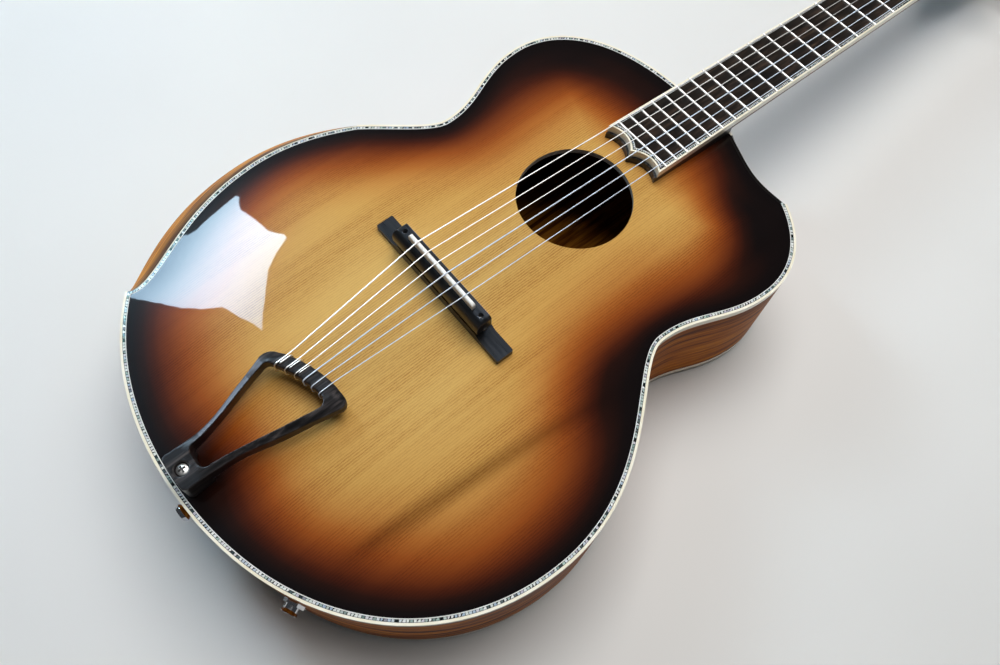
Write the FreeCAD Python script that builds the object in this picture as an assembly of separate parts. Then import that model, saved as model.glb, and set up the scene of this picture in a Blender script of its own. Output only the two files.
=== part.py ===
import FreeCAD, Part
import math
import os

# Archtop guitar with a round soundhole, a floating bridge and a wooden tailpiece, in millimetres.
# While the pieces are made, x runs from the saddle towards the head, y towards the bass side and
# z up from the flat rim of the top. The finished guitar lies on its back, and its origin is under
# the middle of its box.

V = FreeCAD.Vector

# Body outline, along the centre line from the saddle and half across
TAIL_X = -234.4
LOWER_BOUT_X = -56.4
LOWER_BOUT_HALF = 209.4
WAIST_X = 106.8
WAIST_HALF = 131.2
UPPER_BOUT_X = 202.7
UPPER_BOUT_HALF = 155.4
BODY_END_X = 287.8
HEEL_SEAT_HALF = 24.0

# Handles of the four outline curves, as shares of each curve's width or length
TAIL_HANDLES = (0.592, 0.589)
LOWER_HANDLES = (0.537, 0.174)
UPPER_HANDLES = (0.372, 0.447)
SHOULDER_HANDLES = (0.509, 0.706)

# Body walls
BODY_DEPTH = 105.0
TOP_THICK = 4.8
BACK_THICK = 4.5
SIDE_THICK = 2.4
LINING_WIDE = 8.0
LINING_TALL = 14.0
BLOCK_HALF = 40.0
BLOCK_LONG = 46.0
TOP_ARCH = 12.5
BRIDGE_RISE = 2.0
RISE_SPREAD = 110.0
TOP_SHOULDER = 100.0
BACK_ARCH = 5.0
BACK_SHOULDER = 115.0
SOUNDHOLE_X = 132.7
SOUNDHOLE_R = 46.9
BINDING_WIDE = 1.9
BINDING_TALL = 6.5
PURFLING_WIDE = 2.8
PURFLING_DEEP = 1.8
BACK_BINDING_WIDE = 1.6
BACK_BINDING_TALL = 6.0
TONE_BAR_Y = 60.0
TONE_BAR_WIDE = 8.0
TONE_BAR_FROM = -165.0
TONE_BAR_TO = 205.0
TONE_BAR_BOTTOM = -8.0
TONE_BAR_TAPER = 45.0

# Bevels: where each runs along the half outline, how far it cuts in and how deep it falls
ARMREST_FROM = 0.51
ARMREST_TO = 1.48
ARMREST_WIDE = 20.0
ARMREST_DEEP = 17.0
ARMREST_SKEW = 2.0
CUTAWAY_FROM = 3.62
CUTAWAY_TO = 3.975
CUTAWAY_WIDE = 10.0
CUTAWAY_DEEP = 24.0
CUTAWAY_SKEW = 1.0
BEVEL_BACKING = 5.0
BEVEL_EDGE = 1.0
BEVEL_LIP = 0.3
FUZZ = 0.001

# Neck, laid out along the fret plane: u along from the saddle, w up from the fret tops
SCALE = 650.0
FRET_COUNT = 20
FRET_PLANE_Z = 43.3
NECK_PITCH = 5.2
FRET_TALL = 1.1
FRET_WIDE = 2.3
FRET_SHORT = 0.7
TANG_WIDE = 0.6
TANG_DEEP = 1.6
BOARD_THICK = 6.5
BOARD_END = 195.3
BOARD_END_HALF = 29.4
BOARD_SCALLOP = 4.6
BOARD_POINT = 3.6
NUT_HALF = 24.8
NUT_THICK = 5.0
NUT_OVER_FRETS = 0.9
NUT_ACTION = 0.4
BOARD_BINDING = 1.7
BOARD_PURFLING = 2.1
BOARD_PURFLING_DEEP = 1.6
RISER_LIP = 2.2
RISER_INSET = 0.6
NECK_DEEP_NUT = 14.5
NECK_DEEP_HEEL = 17.0
HEEL_CAP_THICK = 3.0
HEEL_FOOT_HALF = 13.0
HEEL_FOOT_LONG = 22.0
HEEL_TOP_HALF = 25.0
HEEL_TOP_LONG = 74.0
HEEL_LEVELS = 6
TENON_HALF = 11.0
TENON_LONG = 22.0
TENON_BOTTOM = -78.0
TENON_FIT = 0.1
TRUSS_ROD_HALF = 3.0
TRUSS_ROD_DEEP = 9.0
TRUSS_ROD_FROM = 300.0

# Head, laid out from the back of the nut: a along, b across, w up from its face
HEAD_ANGLE = 12.0
HEAD_BELOW_FRETS = 4.0
HEAD_LONG = 184.0
HEAD_THICK = 14.0
HEADPLATE_THICK = 2.4
HEAD_NECK_LONG = 22.0
HEAD_SHOULDER_HALF = 33.0
HEAD_CREST_HALF = 38.0
HEAD_CREST_DEEP = 10.0

# Tuners, three a side
TUNER_FIRST = 50.0
TUNER_STEP = 43.0
TUNER_OUT = 25.0
TUNER_LEAN = 1.5
POST_R = 2.9
POST_TALL = 11.0
POST_EYE_R = 0.8
POST_EYE_DROP = 2.2
BUSHING_R = 5.0
BUSHING_FLANGE_R = 6.8
BUSHING_FLANGE = 2.0
RUN_FIT = 0.05
GEAR_R = 5.6
GEAR_TEETH = 15
TOOTH_DEEP = 1.0
GEAR_THICK = 3.2
WORM_R = 2.4
WORM_THREADS = 5
GEAR_GAP = 0.35
KEY_R = 1.7
HOUSING_WALL = 1.4
HOUSING_DEEP = 9.6
HOUSING_HALF = 9.0
FLANGE_LONG = 4.4
BUTTON_LONG = 18.0
BUTTON_WIDE = 15.0
BUTTON_THICK = 7.0
BUTTON_ROUND = 1.8
KEY_REACH = 10.0
SCREW_R = 1.1
SCREW_LONG = 8.0
SCREW_HEAD_R = 1.9
SCREW_HEAD = 1.2

# Bridge
STRING_SPREAD_BRIDGE = 55.0
STRING_SPREAD_NUT = 41.0
SADDLE_TOP = 46.0
SADDLE_THICK = 3.2
SADDLE_HALF = 37.0
SADDLE_SEAT = 5.5
SADDLE_ROUND = 3.0
CARRIER_TOP = 39.6
CARRIER_BOTTOM = 27.6
CARRIER_HALF = 50.0
CARRIER_FRONT = 5.8
CARRIER_BACK = 7.4
CARRIER_FLAT_BACK = 2.4
CARRIER_BACK_TALL = 2.6
BASE_HALF = 72.5
BASE_FRONT = 8.0
BASE_BACK = 7.0
BASE_END_TOP = 18.9
BASE_TOP = 22.8
BASE_STEP_HALF = 52.0
BASE_STEP_LONG = 6.0
BASE_ROUND = 1.2
POST_Y = 44.0
POST_X = 0.6
BRIDGE_POST_R = 2.0
BRIDGE_POST_TOP = 36.0
BRIDGE_POST_SEAT = 5.0
WHEEL_R = 6.6
WHEEL_THICK = 2.6
WHEEL_GRIPS = 24
WHEEL_GRIP_R = 0.45
SLIDE_FIT = 0.08

# Tailpiece
FOOT_TAIL_X = -227.2
FOOT_HALF = 15.0
FOOT_ROUND = 5.0
FOOT_TOP = 20.0
FOOT_FRONT_X = -214.0
# Outer line of an arm at the bar's top: place, half width there and how much wider per mm further down
ARM_LINE = ((-199.0, 14.8, 0.03), (-181.0, 16.9, 0.1), (-164.8, 21.7, 0.16), (-148.5, 26.5, 0.2))
# Inner line of an arm: place and half width
LEG_LINE = ((-203.0, 9.8), (-181.0, 13.6), (-160.0, 18.9), (-141.0, 23.0))
CROTCH_X = -209.5
CROTCH_HALF = 4.5
CROTCH_FULL = 0.8
BAR_BASS_X = -127.5
BAR_BASS_Y = 31.5
BAR_MIDDLE_X = -111.2
BAR_TREBLE_X = -107.6
BAR_TREBLE_Y = -35.0
BAR_DEEP = 12.0
BAR_TOP = 32.6
BAR_BOTTOM = 23.4
BAR_LEVEL_X = -137.0
BAR_UNDER_X = -133.0
BAR_DRAFT = 0.2
BAR_ROUND = 2.2
BAR_END_ROUND = 5.0
OPENING_HALF = 20.6
OPENING_ROUND = 7.0
ARM_UNDER_X = -207.0
ARM_UNDER_Z = 8.0
TAIL_SCREW_X = -219.6
TAIL_SCREW_R = 2.0
TAIL_SCREW_HEAD_R = 4.1
TAIL_SCREW_HEAD = 3.2
TAIL_SCREW_LONG = 42.0
COUNTERBORE_R = 5.4
COUNTERBORE_DEEP = 4.4
CROSS_LONG = 4.6
CROSS_WIDE = 1.1
CROSS_DEEP = 1.6

# Strings, from the bass to the treble
STRING_GAUGES = (1.10, 0.90, 0.76, 1.02, 0.82, 0.71)
WOUND_STRINGS = 3
BAR_SPREAD = 36.5
STRING_GAP = 0.06
TIE_GAP = 0.3
TIE_STEP = 0.6
COIL_TURNS = 2.25
COIL_STEP = 0.5
COIL_GAP = 0.3
COIL_TOP = 6.8
SADDLE_BEND_R = 18.0
NUT_BEND_R = 14.0

# Strap button, jack and pickup
STRAP_Z = -48.0
STRAP_NECK_R = 4.6
STRAP_FLANGE_R = 7.2
STRAP_OUT = 10.0
STRAP_FLANGE = 3.0
STRAP_SCREW_R = 2.2
STRAP_SCREW_HEAD_R = 3.8
STRAP_SCREW_LONG = 32.0
JACK_AT = 0.315
JACK_Z = -46.0
JACK_R = 5.6
JACK_LIP_R = 6.8
JACK_LIP = 3.0
JACK_BORE_R = 3.25
JACK_OUT = 9.0
JACK_IN = 30.0
JACK_BODY_R = 8.0
JACK_NUT_R = 8.4
JACK_NUT_THICK = 2.8
PICKUP_R = 9.0
PICKUP_THICK = 2.2
PICKUP_X = -14.0
PICKUP_Y = -34.0
LEAD_R = 1.1
LEAD_CLIP_X = -150.0
LEAD_CLIP_DROP = 1.6

nodes = {}


def keep(name, shape):
    """File a finished piece under its node name."""
    nodes[name] = shape
    return shape


# Small shape helpers
def box(x0, x1, y0, y1, z0, z1):
    return Part.makeBox(x1 - x0, y1 - y0, z1 - z0, V(x0, y0, z0))


def rod(radius, start, end):
    return Part.makeCylinder(radius, start.distanceToPoint(end), start, end - start)


def pin(radius, x, y, z0, z1):
    return rod(radius, V(x, y, z0), V(x, y, z1))


def polygon_face(points):
    return Part.Face(Part.makePolygon(points + points[:1]))


def spline(points):
    curve = Part.BSplineCurve()
    curve.interpolate(points)
    return curve.toShape()


def group(shapes):
    return Part.makeCompound(shapes)


def unit(vector):
    return vector * (1.0 / vector.Length)


def drill(name, cutter):
    """Take a cutter out of a piece that is already filed."""
    nodes[name] = nodes[name].cut(cutter)


def placed(shape, place):
    moved = shape.copy()
    moved.Placement = place.multiply(shape.Placement)
    return moved


# The half outline: four curves from the tail to the heel seat, s from 0 to 4
def outline_curves():
    corners = ((TAIL_X, 0.0), (LOWER_BOUT_X, LOWER_BOUT_HALF), (WAIST_X, WAIST_HALF),
               (UPPER_BOUT_X, UPPER_BOUT_HALF), (BODY_END_X, HEEL_SEAT_HALF))
    handles = (TAIL_HANDLES, LOWER_HANDLES, UPPER_HANDLES, SHOULDER_HANDLES)
    curves = []
    for i, (first, last) in enumerate(handles):
        x0, y0 = corners[i]
        x1, y1 = corners[i + 1]
        reach = x1 - x0
        rise = y1 - y0
        lead = (x0, y0 + first * rise) if i == 0 else (x0 + first * reach, y0)
        tail = (x1, y1 - last * rise) if i == 3 else (x1 - last * reach, y1)
        curve = Part.BezierCurve()
        curve.setPoles([V(x, y, 0) for x, y in ((x0, y0), lead, tail, (x1, y1))])
        curves.append(curve)
    return curves


CURVES = outline_curves()
STEPS_PER_CURVE = 16
BEVEL_STEPS = 20


def rim_at(s, inset=0.0, z=0.0):
    """A point of the bass half outline, moved in from the edge."""
    i = min(int(s), 3)
    point = CURVES[i].value(s - i)
    along = CURVES[i].tangent(s - i)[0]
    return V(point.x + along.y * inset, point.y - along.x * inset, z)


def rim_normal(s):
    """The outward direction of the bass half outline."""
    i = min(int(s), 3)
    along = CURVES[i].tangent(s - i)[0]
    return V(-along.y, along.x, 0)


def steps(start, end):
    count = max(4, int(round((end - start) * STEPS_PER_CURVE)))
    return [start + (end - start) * k / count for k in range(count + 1)]


def bevel_steps(start, end, skew, count=BEVEL_STEPS):
    """Places along a bevel with the share of its width there: none at its ends, all in its middle."""
    places = []
    for k in range(count + 1):
        t = k / count
        places.append((start + (end - start) * t ** skew, math.sin(math.pi * t)))
    return places


ARMREST = bevel_steps(ARMREST_FROM, ARMREST_TO, ARMREST_SKEW)
CUTAWAY = bevel_steps(CUTAWAY_FROM, CUTAWAY_TO, CUTAWAY_SKEW)


def half_edges(inset, side, bevel, width):
    """One half of the plan, from the tail to the heel seat, with its bevel cut in where it has one."""
    runs = [[rim_at(s, inset) for s in steps(0.0, 4.0)]]
    if bevel:
        before = [rim_at(s, inset) for s in steps(0.0, bevel[0][0])]
        within = [rim_at(s, inset + width * share) for s, share in bevel]
        after = [rim_at(s, inset) for s in steps(bevel[-1][0], 4.0)]
        runs = [before, within, after]
    return [spline([V(p.x, side * p.y, 0) for p in run]) for run in runs]


def rim_face(inset, bevelled=False):
    """The whole plan of the body, moved in from the edge."""
    bass = half_edges(inset, 1, ARMREST if bevelled else None, ARMREST_WIDE)
    treble = half_edges(inset, -1, CUTAWAY if bevelled else None, CUTAWAY_WIDE)
    corner = rim_at(4.0, inset)
    seat = Part.makeLine(corner, V(corner.x, -corner.y, 0))
    return Part.Face(Part.Wire(bass + [seat] + treble[::-1]))


def raised(face, z0, z1):
    solid = face.translated(V(0, 0, z0)).extrude(V(0, 0, z1 - z0))
    return solid if solid.Volume > 0 else solid.reversed()


def moved_in(face, width, spacing=9.0):
    """The same plan, smaller by an even margin and drawn again through points along its edges."""
    wire = face.makeOffset2D(-width, join=2).OuterWire
    corners = [v.Point for v in wire.OrderedVertexes]
    edges = []
    for n, edge in enumerate(wire.OrderedEdges):
        count = max(2, int(edge.Length / spacing))
        points = edge.discretize(count + 1)
        start = corners[n]
        end = corners[(n + 1) % len(corners)]
        if points[0].distanceToPoint(start) > points[-1].distanceToPoint(start):
            points = points[::-1]
        straight = edge.Curve.TypeId == "Part::GeomLine"
        edges.append(Part.makeLine(start, end) if straight else spline([start] + points[1:-1] + [end]))
    return Part.Face(Part.Wire(edges))


def prism(inset, z0, z1):
    return raised(rim_face(inset), z0, z1)


def ring(outer, inner, z0, z1):
    return prism(outer, z0, z1).cut(prism(inner, z0 - 1, z1 + 1))


# Arched surfaces
GRID = 12.0
SMOOTH_PASSES = 6
SMOOTH_FROM = 45.0


def inside_distance(x, y, outline):
    """How far a point lies inside a closed outline, or 0 outside it."""
    nearest = 1e9
    inside = False
    for p, q in zip(outline, outline[1:] + outline[:1]):
        dx = q.x - p.x
        dy = q.y - p.y
        length = dx * dx + dy * dy
        if length == 0:
            continue
        share = max(0.0, min(1.0, ((x - p.x) * dx + (y - p.y) * dy) / length))
        nearest = min(nearest, math.hypot(x - p.x - share * dx, y - p.y - share * dy))
        if (p.y > y) != (q.y > y) and x < p.x + (y - p.y) * dx / dy:
            inside = not inside
    return nearest if inside else 0.0


def swell(distance, shoulder):
    """Rises from a level edge to a level middle."""
    return 0.5 - 0.5 * math.cos(math.pi * min(1.0, distance / shoulder))


def softened(heights, distances):
    """Rounds the ridges of a height field away from its edge."""
    rows = len(heights)
    columns = len(heights[0])
    for _ in range(SMOOTH_PASSES):
        fresh = [line[:] for line in heights]
        for i in range(1, rows - 1):
            for j in range(1, columns - 1):
                near = heights[i - 1][j] + heights[i + 1][j] + heights[i][j - 1] + heights[i][j + 1]
                share = 0.7 * min(1.0, distances[i][j] / SMOOTH_FROM) ** 2
                fresh[i][j] += share * (near / 4 - heights[i][j])
        heights = fresh
    return heights


def arched_sheet(rise, level, shoulder, edge_face):
    """A smooth sheet over the body's whole box, level at the edge and swelling inside it."""
    outline = edge_face.OuterWire.discretize(360)
    across = LOWER_BOUT_HALF + GRID
    rows = int((BODY_END_X - TAIL_X + 2 * GRID) / GRID)
    columns = int(2 * across / GRID)
    xs = [TAIL_X - GRID + (BODY_END_X - TAIL_X + 2 * GRID) * i / rows for i in range(rows + 1)]
    ys = [-across + 2 * across * j / columns for j in range(columns + 1)]
    distances = [[inside_distance(x, y, outline) for y in ys] for x in xs]
    heights = [[rise(x, y) * swell(distances[i][j], shoulder) for j, y in enumerate(ys)]
               for i, x in enumerate(xs)]
    heights = softened(heights, distances)
    surface = Part.BSplineSurface()
    surface.interpolate([[V(x, y, level + heights[i][j]) for j, y in enumerate(ys)]
                         for i, x in enumerate(xs)])
    return surface.toShape()


def top_rise(x, y):
    return TOP_ARCH + BRIDGE_RISE * math.exp(-(x * x + y * y) / (2 * RISE_SPREAD ** 2))


def back_rise(x, y):
    return -BACK_ARCH


# The plan of the top with its bevels cut in, and the same plan inside the purfling
TOP_PLAN = rim_face(BINDING_WIDE, True)
FIELD_PLAN = moved_in(TOP_PLAN, PURFLING_WIDE)
TOP_SHEET = arched_sheet(top_rise, 0.0, TOP_SHOULDER, FIELD_PLAN)
BACK_SHEET = arched_sheet(back_rise, -BODY_DEPTH, BACK_SHOULDER, rim_face(BINDING_WIDE))
UNDER_TOP = TOP_SHEET.extrude(V(0, 0, -BODY_DEPTH))
OVER_TOP_INSIDE = TOP_SHEET.translated(V(0, 0, -TOP_THICK)).extrude(V(0, 0, BODY_DEPTH))
UNDER_BACK_INSIDE = BACK_SHEET.translated(V(0, 0, BACK_THICK)).extrude(V(0, 0, -BODY_DEPTH))
FLOOR = BACK_THICK - BODY_DEPTH


# Body pieces
def make_plates():
    top = TOP_SHEET.extrude(V(0, 0, -TOP_THICK)).common(raised(TOP_PLAN, -BODY_DEPTH, BODY_DEPTH))
    field = raised(FIELD_PLAN, -BODY_DEPTH, BODY_DEPTH)
    top = top.cut(raised(TOP_PLAN, -PURFLING_DEEP, PURFLING_DEEP).cut(field))
    top = top.cut(pin(SOUNDHOLE_R, SOUNDHOLE_X, 0, -BODY_DEPTH, BODY_DEPTH))
    keep("top_plate", top.cut(pin(TAIL_SCREW_R, TAIL_SCREW_X, 0, -BODY_DEPTH, BODY_DEPTH)))
    keep("top_purfling", raised(TOP_PLAN, -PURFLING_DEEP, 0.0).cut(field))
    back = BACK_SHEET.extrude(V(0, 0, BACK_THICK))
    keep("back_plate", back.common(prism(BACK_BINDING_WIDE, -2 * BODY_DEPTH, BODY_DEPTH)))
    keep("back_binding", ring(0.0, BACK_BINDING_WIDE, -BODY_DEPTH, BACK_BINDING_TALL - BODY_DEPTH))


def bevel_block(bevel, width, depth, side, open_above):
    """An edge block lofted through sections square to the outline, or the room it needs."""
    sections = []
    for s, share in bevel:
        inset = BINDING_WIDE + width * share
        fall = BEVEL_EDGE + depth * share
        foot = -fall - BEVEL_BACKING
        deep = inset + BEVEL_EDGE
        corners = [rim_at(s, deep, 0.0), rim_at(s, inset - BEVEL_LIP, 0.0), rim_at(s, 0.0, -fall),
                   rim_at(s, 0.0, foot), rim_at(s, deep, foot)]
        if open_above:
            corners = [rim_at(s, deep, BINDING_TALL), rim_at(s, -BEVEL_EDGE, BINDING_TALL),
                       rim_at(s, -BEVEL_EDGE, foot), rim_at(s, deep, foot)]
        points = [V(p.x, side * p.y, p.z) for p in corners]
        sections.append(Part.makePolygon(points + points[:1]))
    block = Part.makeLoft(sections, True, True)
    return block if block.Volume > 0 else block.reversed()


def rim_sector(bevel, side):
    """The stretch of edge that a bevel takes from the binding."""
    outer = [rim_at(s, -1.0) for s, share in bevel]
    inner = [rim_at(s, BINDING_WIDE + 1.0) for s, share in bevel[::-1]]
    face = polygon_face([V(p.x, side * p.y, 0) for p in outer + inner])
    return raised(face, -2 * BINDING_TALL, BINDING_TALL)


def make_rim():
    beside_top = raised(TOP_PLAN, -BODY_DEPTH, BODY_DEPTH)
    armrest = bevel_block(ARMREST, ARMREST_WIDE, ARMREST_DEEP, 1, False)
    keep("armrest_bevel", armrest.cut([beside_top], FUZZ))
    shoulder = bevel_block(CUTAWAY, CUTAWAY_WIDE, CUTAWAY_DEEP, -1, False)
    keep("cutaway_bevel", shoulder.cut([beside_top], FUZZ))
    rooms = group([bevel_block(ARMREST, ARMREST_WIDE, ARMREST_DEEP, 1, True),
                   bevel_block(CUTAWAY, CUTAWAY_WIDE, CUTAWAY_DEEP, -1, True)])
    binding = ring(0.0, BINDING_WIDE, -BINDING_TALL, 0.0)
    bound = binding.cut(rim_sector(ARMREST, 1)).cut(rim_sector(CUTAWAY, -1))
    keep("top_binding", bound)
    wall = ring(0.0, SIDE_THICK, FLOOR, -TOP_THICK)
    wall = wall.cut(bound).cut(nodes["back_binding"])
    for room in rooms.Solids:
        wall = wall.cut(room)
    reach = 2 * LOWER_BOUT_HALF
    keep("bass_side", wall.common(box(-reach, reach, 0, reach, -reach, reach)))
    keep("treble_side", wall.common(box(-reach, reach, -reach, 0, -reach, reach)))
    return rooms


def make_blocks(rooms):
    """Neck and tail blocks, and the linings that run between them."""
    room = prism(SIDE_THICK, FLOOR - BACK_ARCH, TOP_ARCH)
    room = room.cut(OVER_TOP_INSIDE).cut(UNDER_BACK_INSIDE)
    across = (-BLOCK_HALF, BLOCK_HALF, -2 * BODY_DEPTH, BODY_DEPTH)
    neck_end = box(BODY_END_X - BLOCK_LONG, BODY_END_X, *across)
    tail_end = box(TAIL_X, TAIL_X + BLOCK_LONG, *across)
    neck_block = room.common(neck_end)
    for bevel_room in rooms.Solids:
        neck_block = neck_block.cut(bevel_room)
    keep("neck_block", neck_block)
    keep("tail_block", room.common(tail_end))
    inner = SIDE_THICK + LINING_WIDE
    top_lining = ring(SIDE_THICK, inner, -TOP_THICK - LINING_TALL, 0.0).cut(OVER_TOP_INSIDE)
    back_lining = ring(SIDE_THICK, inner, FLOOR - BACK_ARCH, FLOOR + LINING_TALL).cut(UNDER_BACK_INSIDE)
    for cutter in [neck_end, tail_end] + rooms.Solids:
        top_lining = top_lining.cut(cutter)
    keep("top_lining", top_lining)
    keep("back_lining", back_lining.cut(neck_end).cut(tail_end))


def make_tone_bars():
    low = TONE_BAR_BOTTOM
    profile = [V(TONE_BAR_FROM, 0, TOP_ARCH), V(TONE_BAR_FROM, 0, low / 4),
               V(TONE_BAR_FROM + TONE_BAR_TAPER, 0, low), V(TONE_BAR_TO - TONE_BAR_TAPER, 0, low),
               V(TONE_BAR_TO, 0, low / 4), V(TONE_BAR_TO, 0, TOP_ARCH)]
    bars = []
    for side in (1, -1):
        bar = polygon_face(profile).extrude(V(0, TONE_BAR_WIDE, 0))
        bar = bar.translated(V(0, side * TONE_BAR_Y - TONE_BAR_WIDE / 2, 0))
        bars.append(bar.cut(OVER_TOP_INSIDE))
    keep("tone_bars", group(bars))


# Neck and head frames
NUT_BACK = SCALE + NUT_THICK
BOARD_TOP = -FRET_TALL
BOARD_FOOT = -FRET_TALL - BOARD_THICK
NECK_PLACE = FreeCAD.Placement(V(0, 0, FRET_PLANE_Z), FreeCAD.Rotation(V(0, 1, 0), NECK_PITCH))
HEAD_PLACE = NECK_PLACE.multiply(FreeCAD.Placement(V(NUT_BACK, 0, -HEAD_BELOW_FRETS),
                                                   FreeCAD.Rotation(V(0, 1, 0), HEAD_ANGLE)))


def board_half(u):
    """Half the board's width, tapering evenly from its end to the nut."""
    return BOARD_END_HALF + (NUT_HALF - BOARD_END_HALF) * (u - BOARD_END) / (SCALE - BOARD_END)


def fret_place(number):
    return SCALE * 2 ** (-number / 12)


def board_plan():
    """The board's plan with two scallops in its end, run on past the nut so that it insets evenly."""
    past = NUT_BACK + NUT_THICK
    corner = V(BOARD_END, BOARD_END_HALF, 0)
    hollow = V(BOARD_END + BOARD_SCALLOP, BOARD_END_HALF / 2, 0)
    point = V(BOARD_END - BOARD_POINT, 0, 0)
    far = V(past, board_half(past), 0)
    edges = [Part.makeLine(far, corner), Part.Arc(corner, hollow, point).toShape()]
    edges.append(Part.Arc(point, V(hollow.x, -hollow.y, 0), V(corner.x, -corner.y, 0)).toShape())
    edges.append(Part.makeLine(V(corner.x, -corner.y, 0), V(far.x, -far.y, 0)))
    edges.append(Part.makeLine(V(far.x, -far.y, 0), far))
    return Part.Face(Part.Wire(edges))


def make_board():
    plan = board_plan()
    inner = moved_in(plan, BOARD_BINDING)
    field = moved_in(inner, BOARD_PURFLING)
    past_nut = box(SCALE, 2 * SCALE, -SCALE, SCALE, -SCALE, SCALE)
    core = raised(inner, BOARD_FOOT, BOARD_TOP)
    binding = raised(plan, BOARD_FOOT, BOARD_TOP).cut(core).cut(past_nut)
    lines = raised(inner, BOARD_TOP - BOARD_PURFLING_DEEP, BOARD_TOP)
    lines = lines.cut(raised(field, BOARD_FOOT, 0.0)).cut(past_nut)
    board = core.cut(lines).cut(past_nut)
    frets = []
    tangs = []
    for number in range(1, FRET_COUNT + 1):
        u = fret_place(number)
        half = board_half(u) - FRET_SHORT
        crown = Part.Arc(V(u - FRET_WIDE / 2, -half, BOARD_TOP), V(u, -half, 0),
                         V(u + FRET_WIDE / 2, -half, BOARD_TOP)).toShape()
        base = Part.makeLine(crown.valueAt(crown.LastParameter), crown.valueAt(crown.FirstParameter))
        bead = Part.Face(Part.Wire([crown, base])).extrude(V(0, 2 * half, 0))
        tang_half = board_half(u) - BOARD_BINDING - BOARD_PURFLING - TANG_WIDE
        tang = box(u - TANG_WIDE / 2, u + TANG_WIDE / 2, -tang_half, tang_half,
                   BOARD_TOP - TANG_DEEP, BOARD_TOP)
        tangs.append(tang)
        frets.append(bead.fuse(tang))
    for tang in tangs:
        board = board.cut(tang)
    keep("fingerboard", placed(board, NECK_PLACE))
    keep("fingerboard_binding", placed(binding, NECK_PLACE))
    keep("fingerboard_purfling", placed(lines, NECK_PLACE))
    keep("frets", placed(group(frets), NECK_PLACE))


def make_riser():
    """The wedge between the board's overhang and the arched top."""
    plan = moved_in(board_plan(), RISER_INSET)
    plan = plan.translated(V(-RISER_LIP - RISER_INSET, 0, 0))
    wedge = placed(raised(plan, -FRET_PLANE_Z, BOARD_FOOT), NECK_PLACE)
    wedge = wedge.cut(UNDER_TOP)
    keep("fingerboard_riser", wedge.common(box(0, BODY_END_X, -SCALE, SCALE, -SCALE, SCALE)))


def neck_section(u, depth):
    """A round-backed section: flat on top, half an ellipse below."""
    half = board_half(u)
    arc = []
    for k in range(13):
        angle = math.pi * k / 12
        arc.append(V(u, half * math.cos(angle), BOARD_FOOT - depth * math.sin(angle)))
    return Part.Wire([spline(arc), Part.makeLine(arc[-1], arc[0])])


def heel_section(level):
    """Half an ellipse standing on the heel seat, shrinking towards the heel's foot."""
    share = level / HEEL_LEVELS
    top = FRET_PLANE_Z - BODY_END_X * math.tan(math.radians(NECK_PITCH)) + BOARD_FOOT
    z = top + (HEEL_CAP_THICK - BODY_DEPTH - top) * share
    half = HEEL_FOOT_HALF + (HEEL_TOP_HALF - HEEL_FOOT_HALF) * (1 - share) ** 2
    reach = HEEL_FOOT_LONG + (HEEL_TOP_LONG - HEEL_FOOT_LONG) * (1 - share) ** 4
    arc = []
    for k in range(13):
        angle = math.pi * k / 12
        arc.append(V(BODY_END_X + reach * math.sin(angle), half * math.cos(angle), z))
    return Part.Wire([spline(arc), Part.makeLine(arc[-1], arc[0])])


def head_plan(extra=0.0):
    crest = HEAD_LONG - HEAD_CREST_DEEP
    side = [V(-extra, NUT_HALF, 0), V(0, NUT_HALF, 0), V(HEAD_NECK_LONG, HEAD_SHOULDER_HALF, 0),
            V(crest, HEAD_CREST_HALF, 0)]
    scroll = [side[-1], V(crest + HEAD_CREST_DEEP / 2, HEAD_CREST_HALF / 2, 0), V(HEAD_LONG, 0, 0)]
    scroll += [V(p.x, -p.y, 0) for p in scroll[1::-1]]
    other = [V(p.x, -p.y, 0) for p in side[::-1]]
    edges = [Part.makeLine(p, q) for p, q in zip(side, side[1:]) if p != q]
    edges.append(spline(scroll))
    edges += [Part.makeLine(p, q) for p, q in zip(other, other[1:]) if p != q]
    edges.append(Part.makeLine(other[-1], side[0]))
    return Part.Face(Part.Wire(edges))


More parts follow.
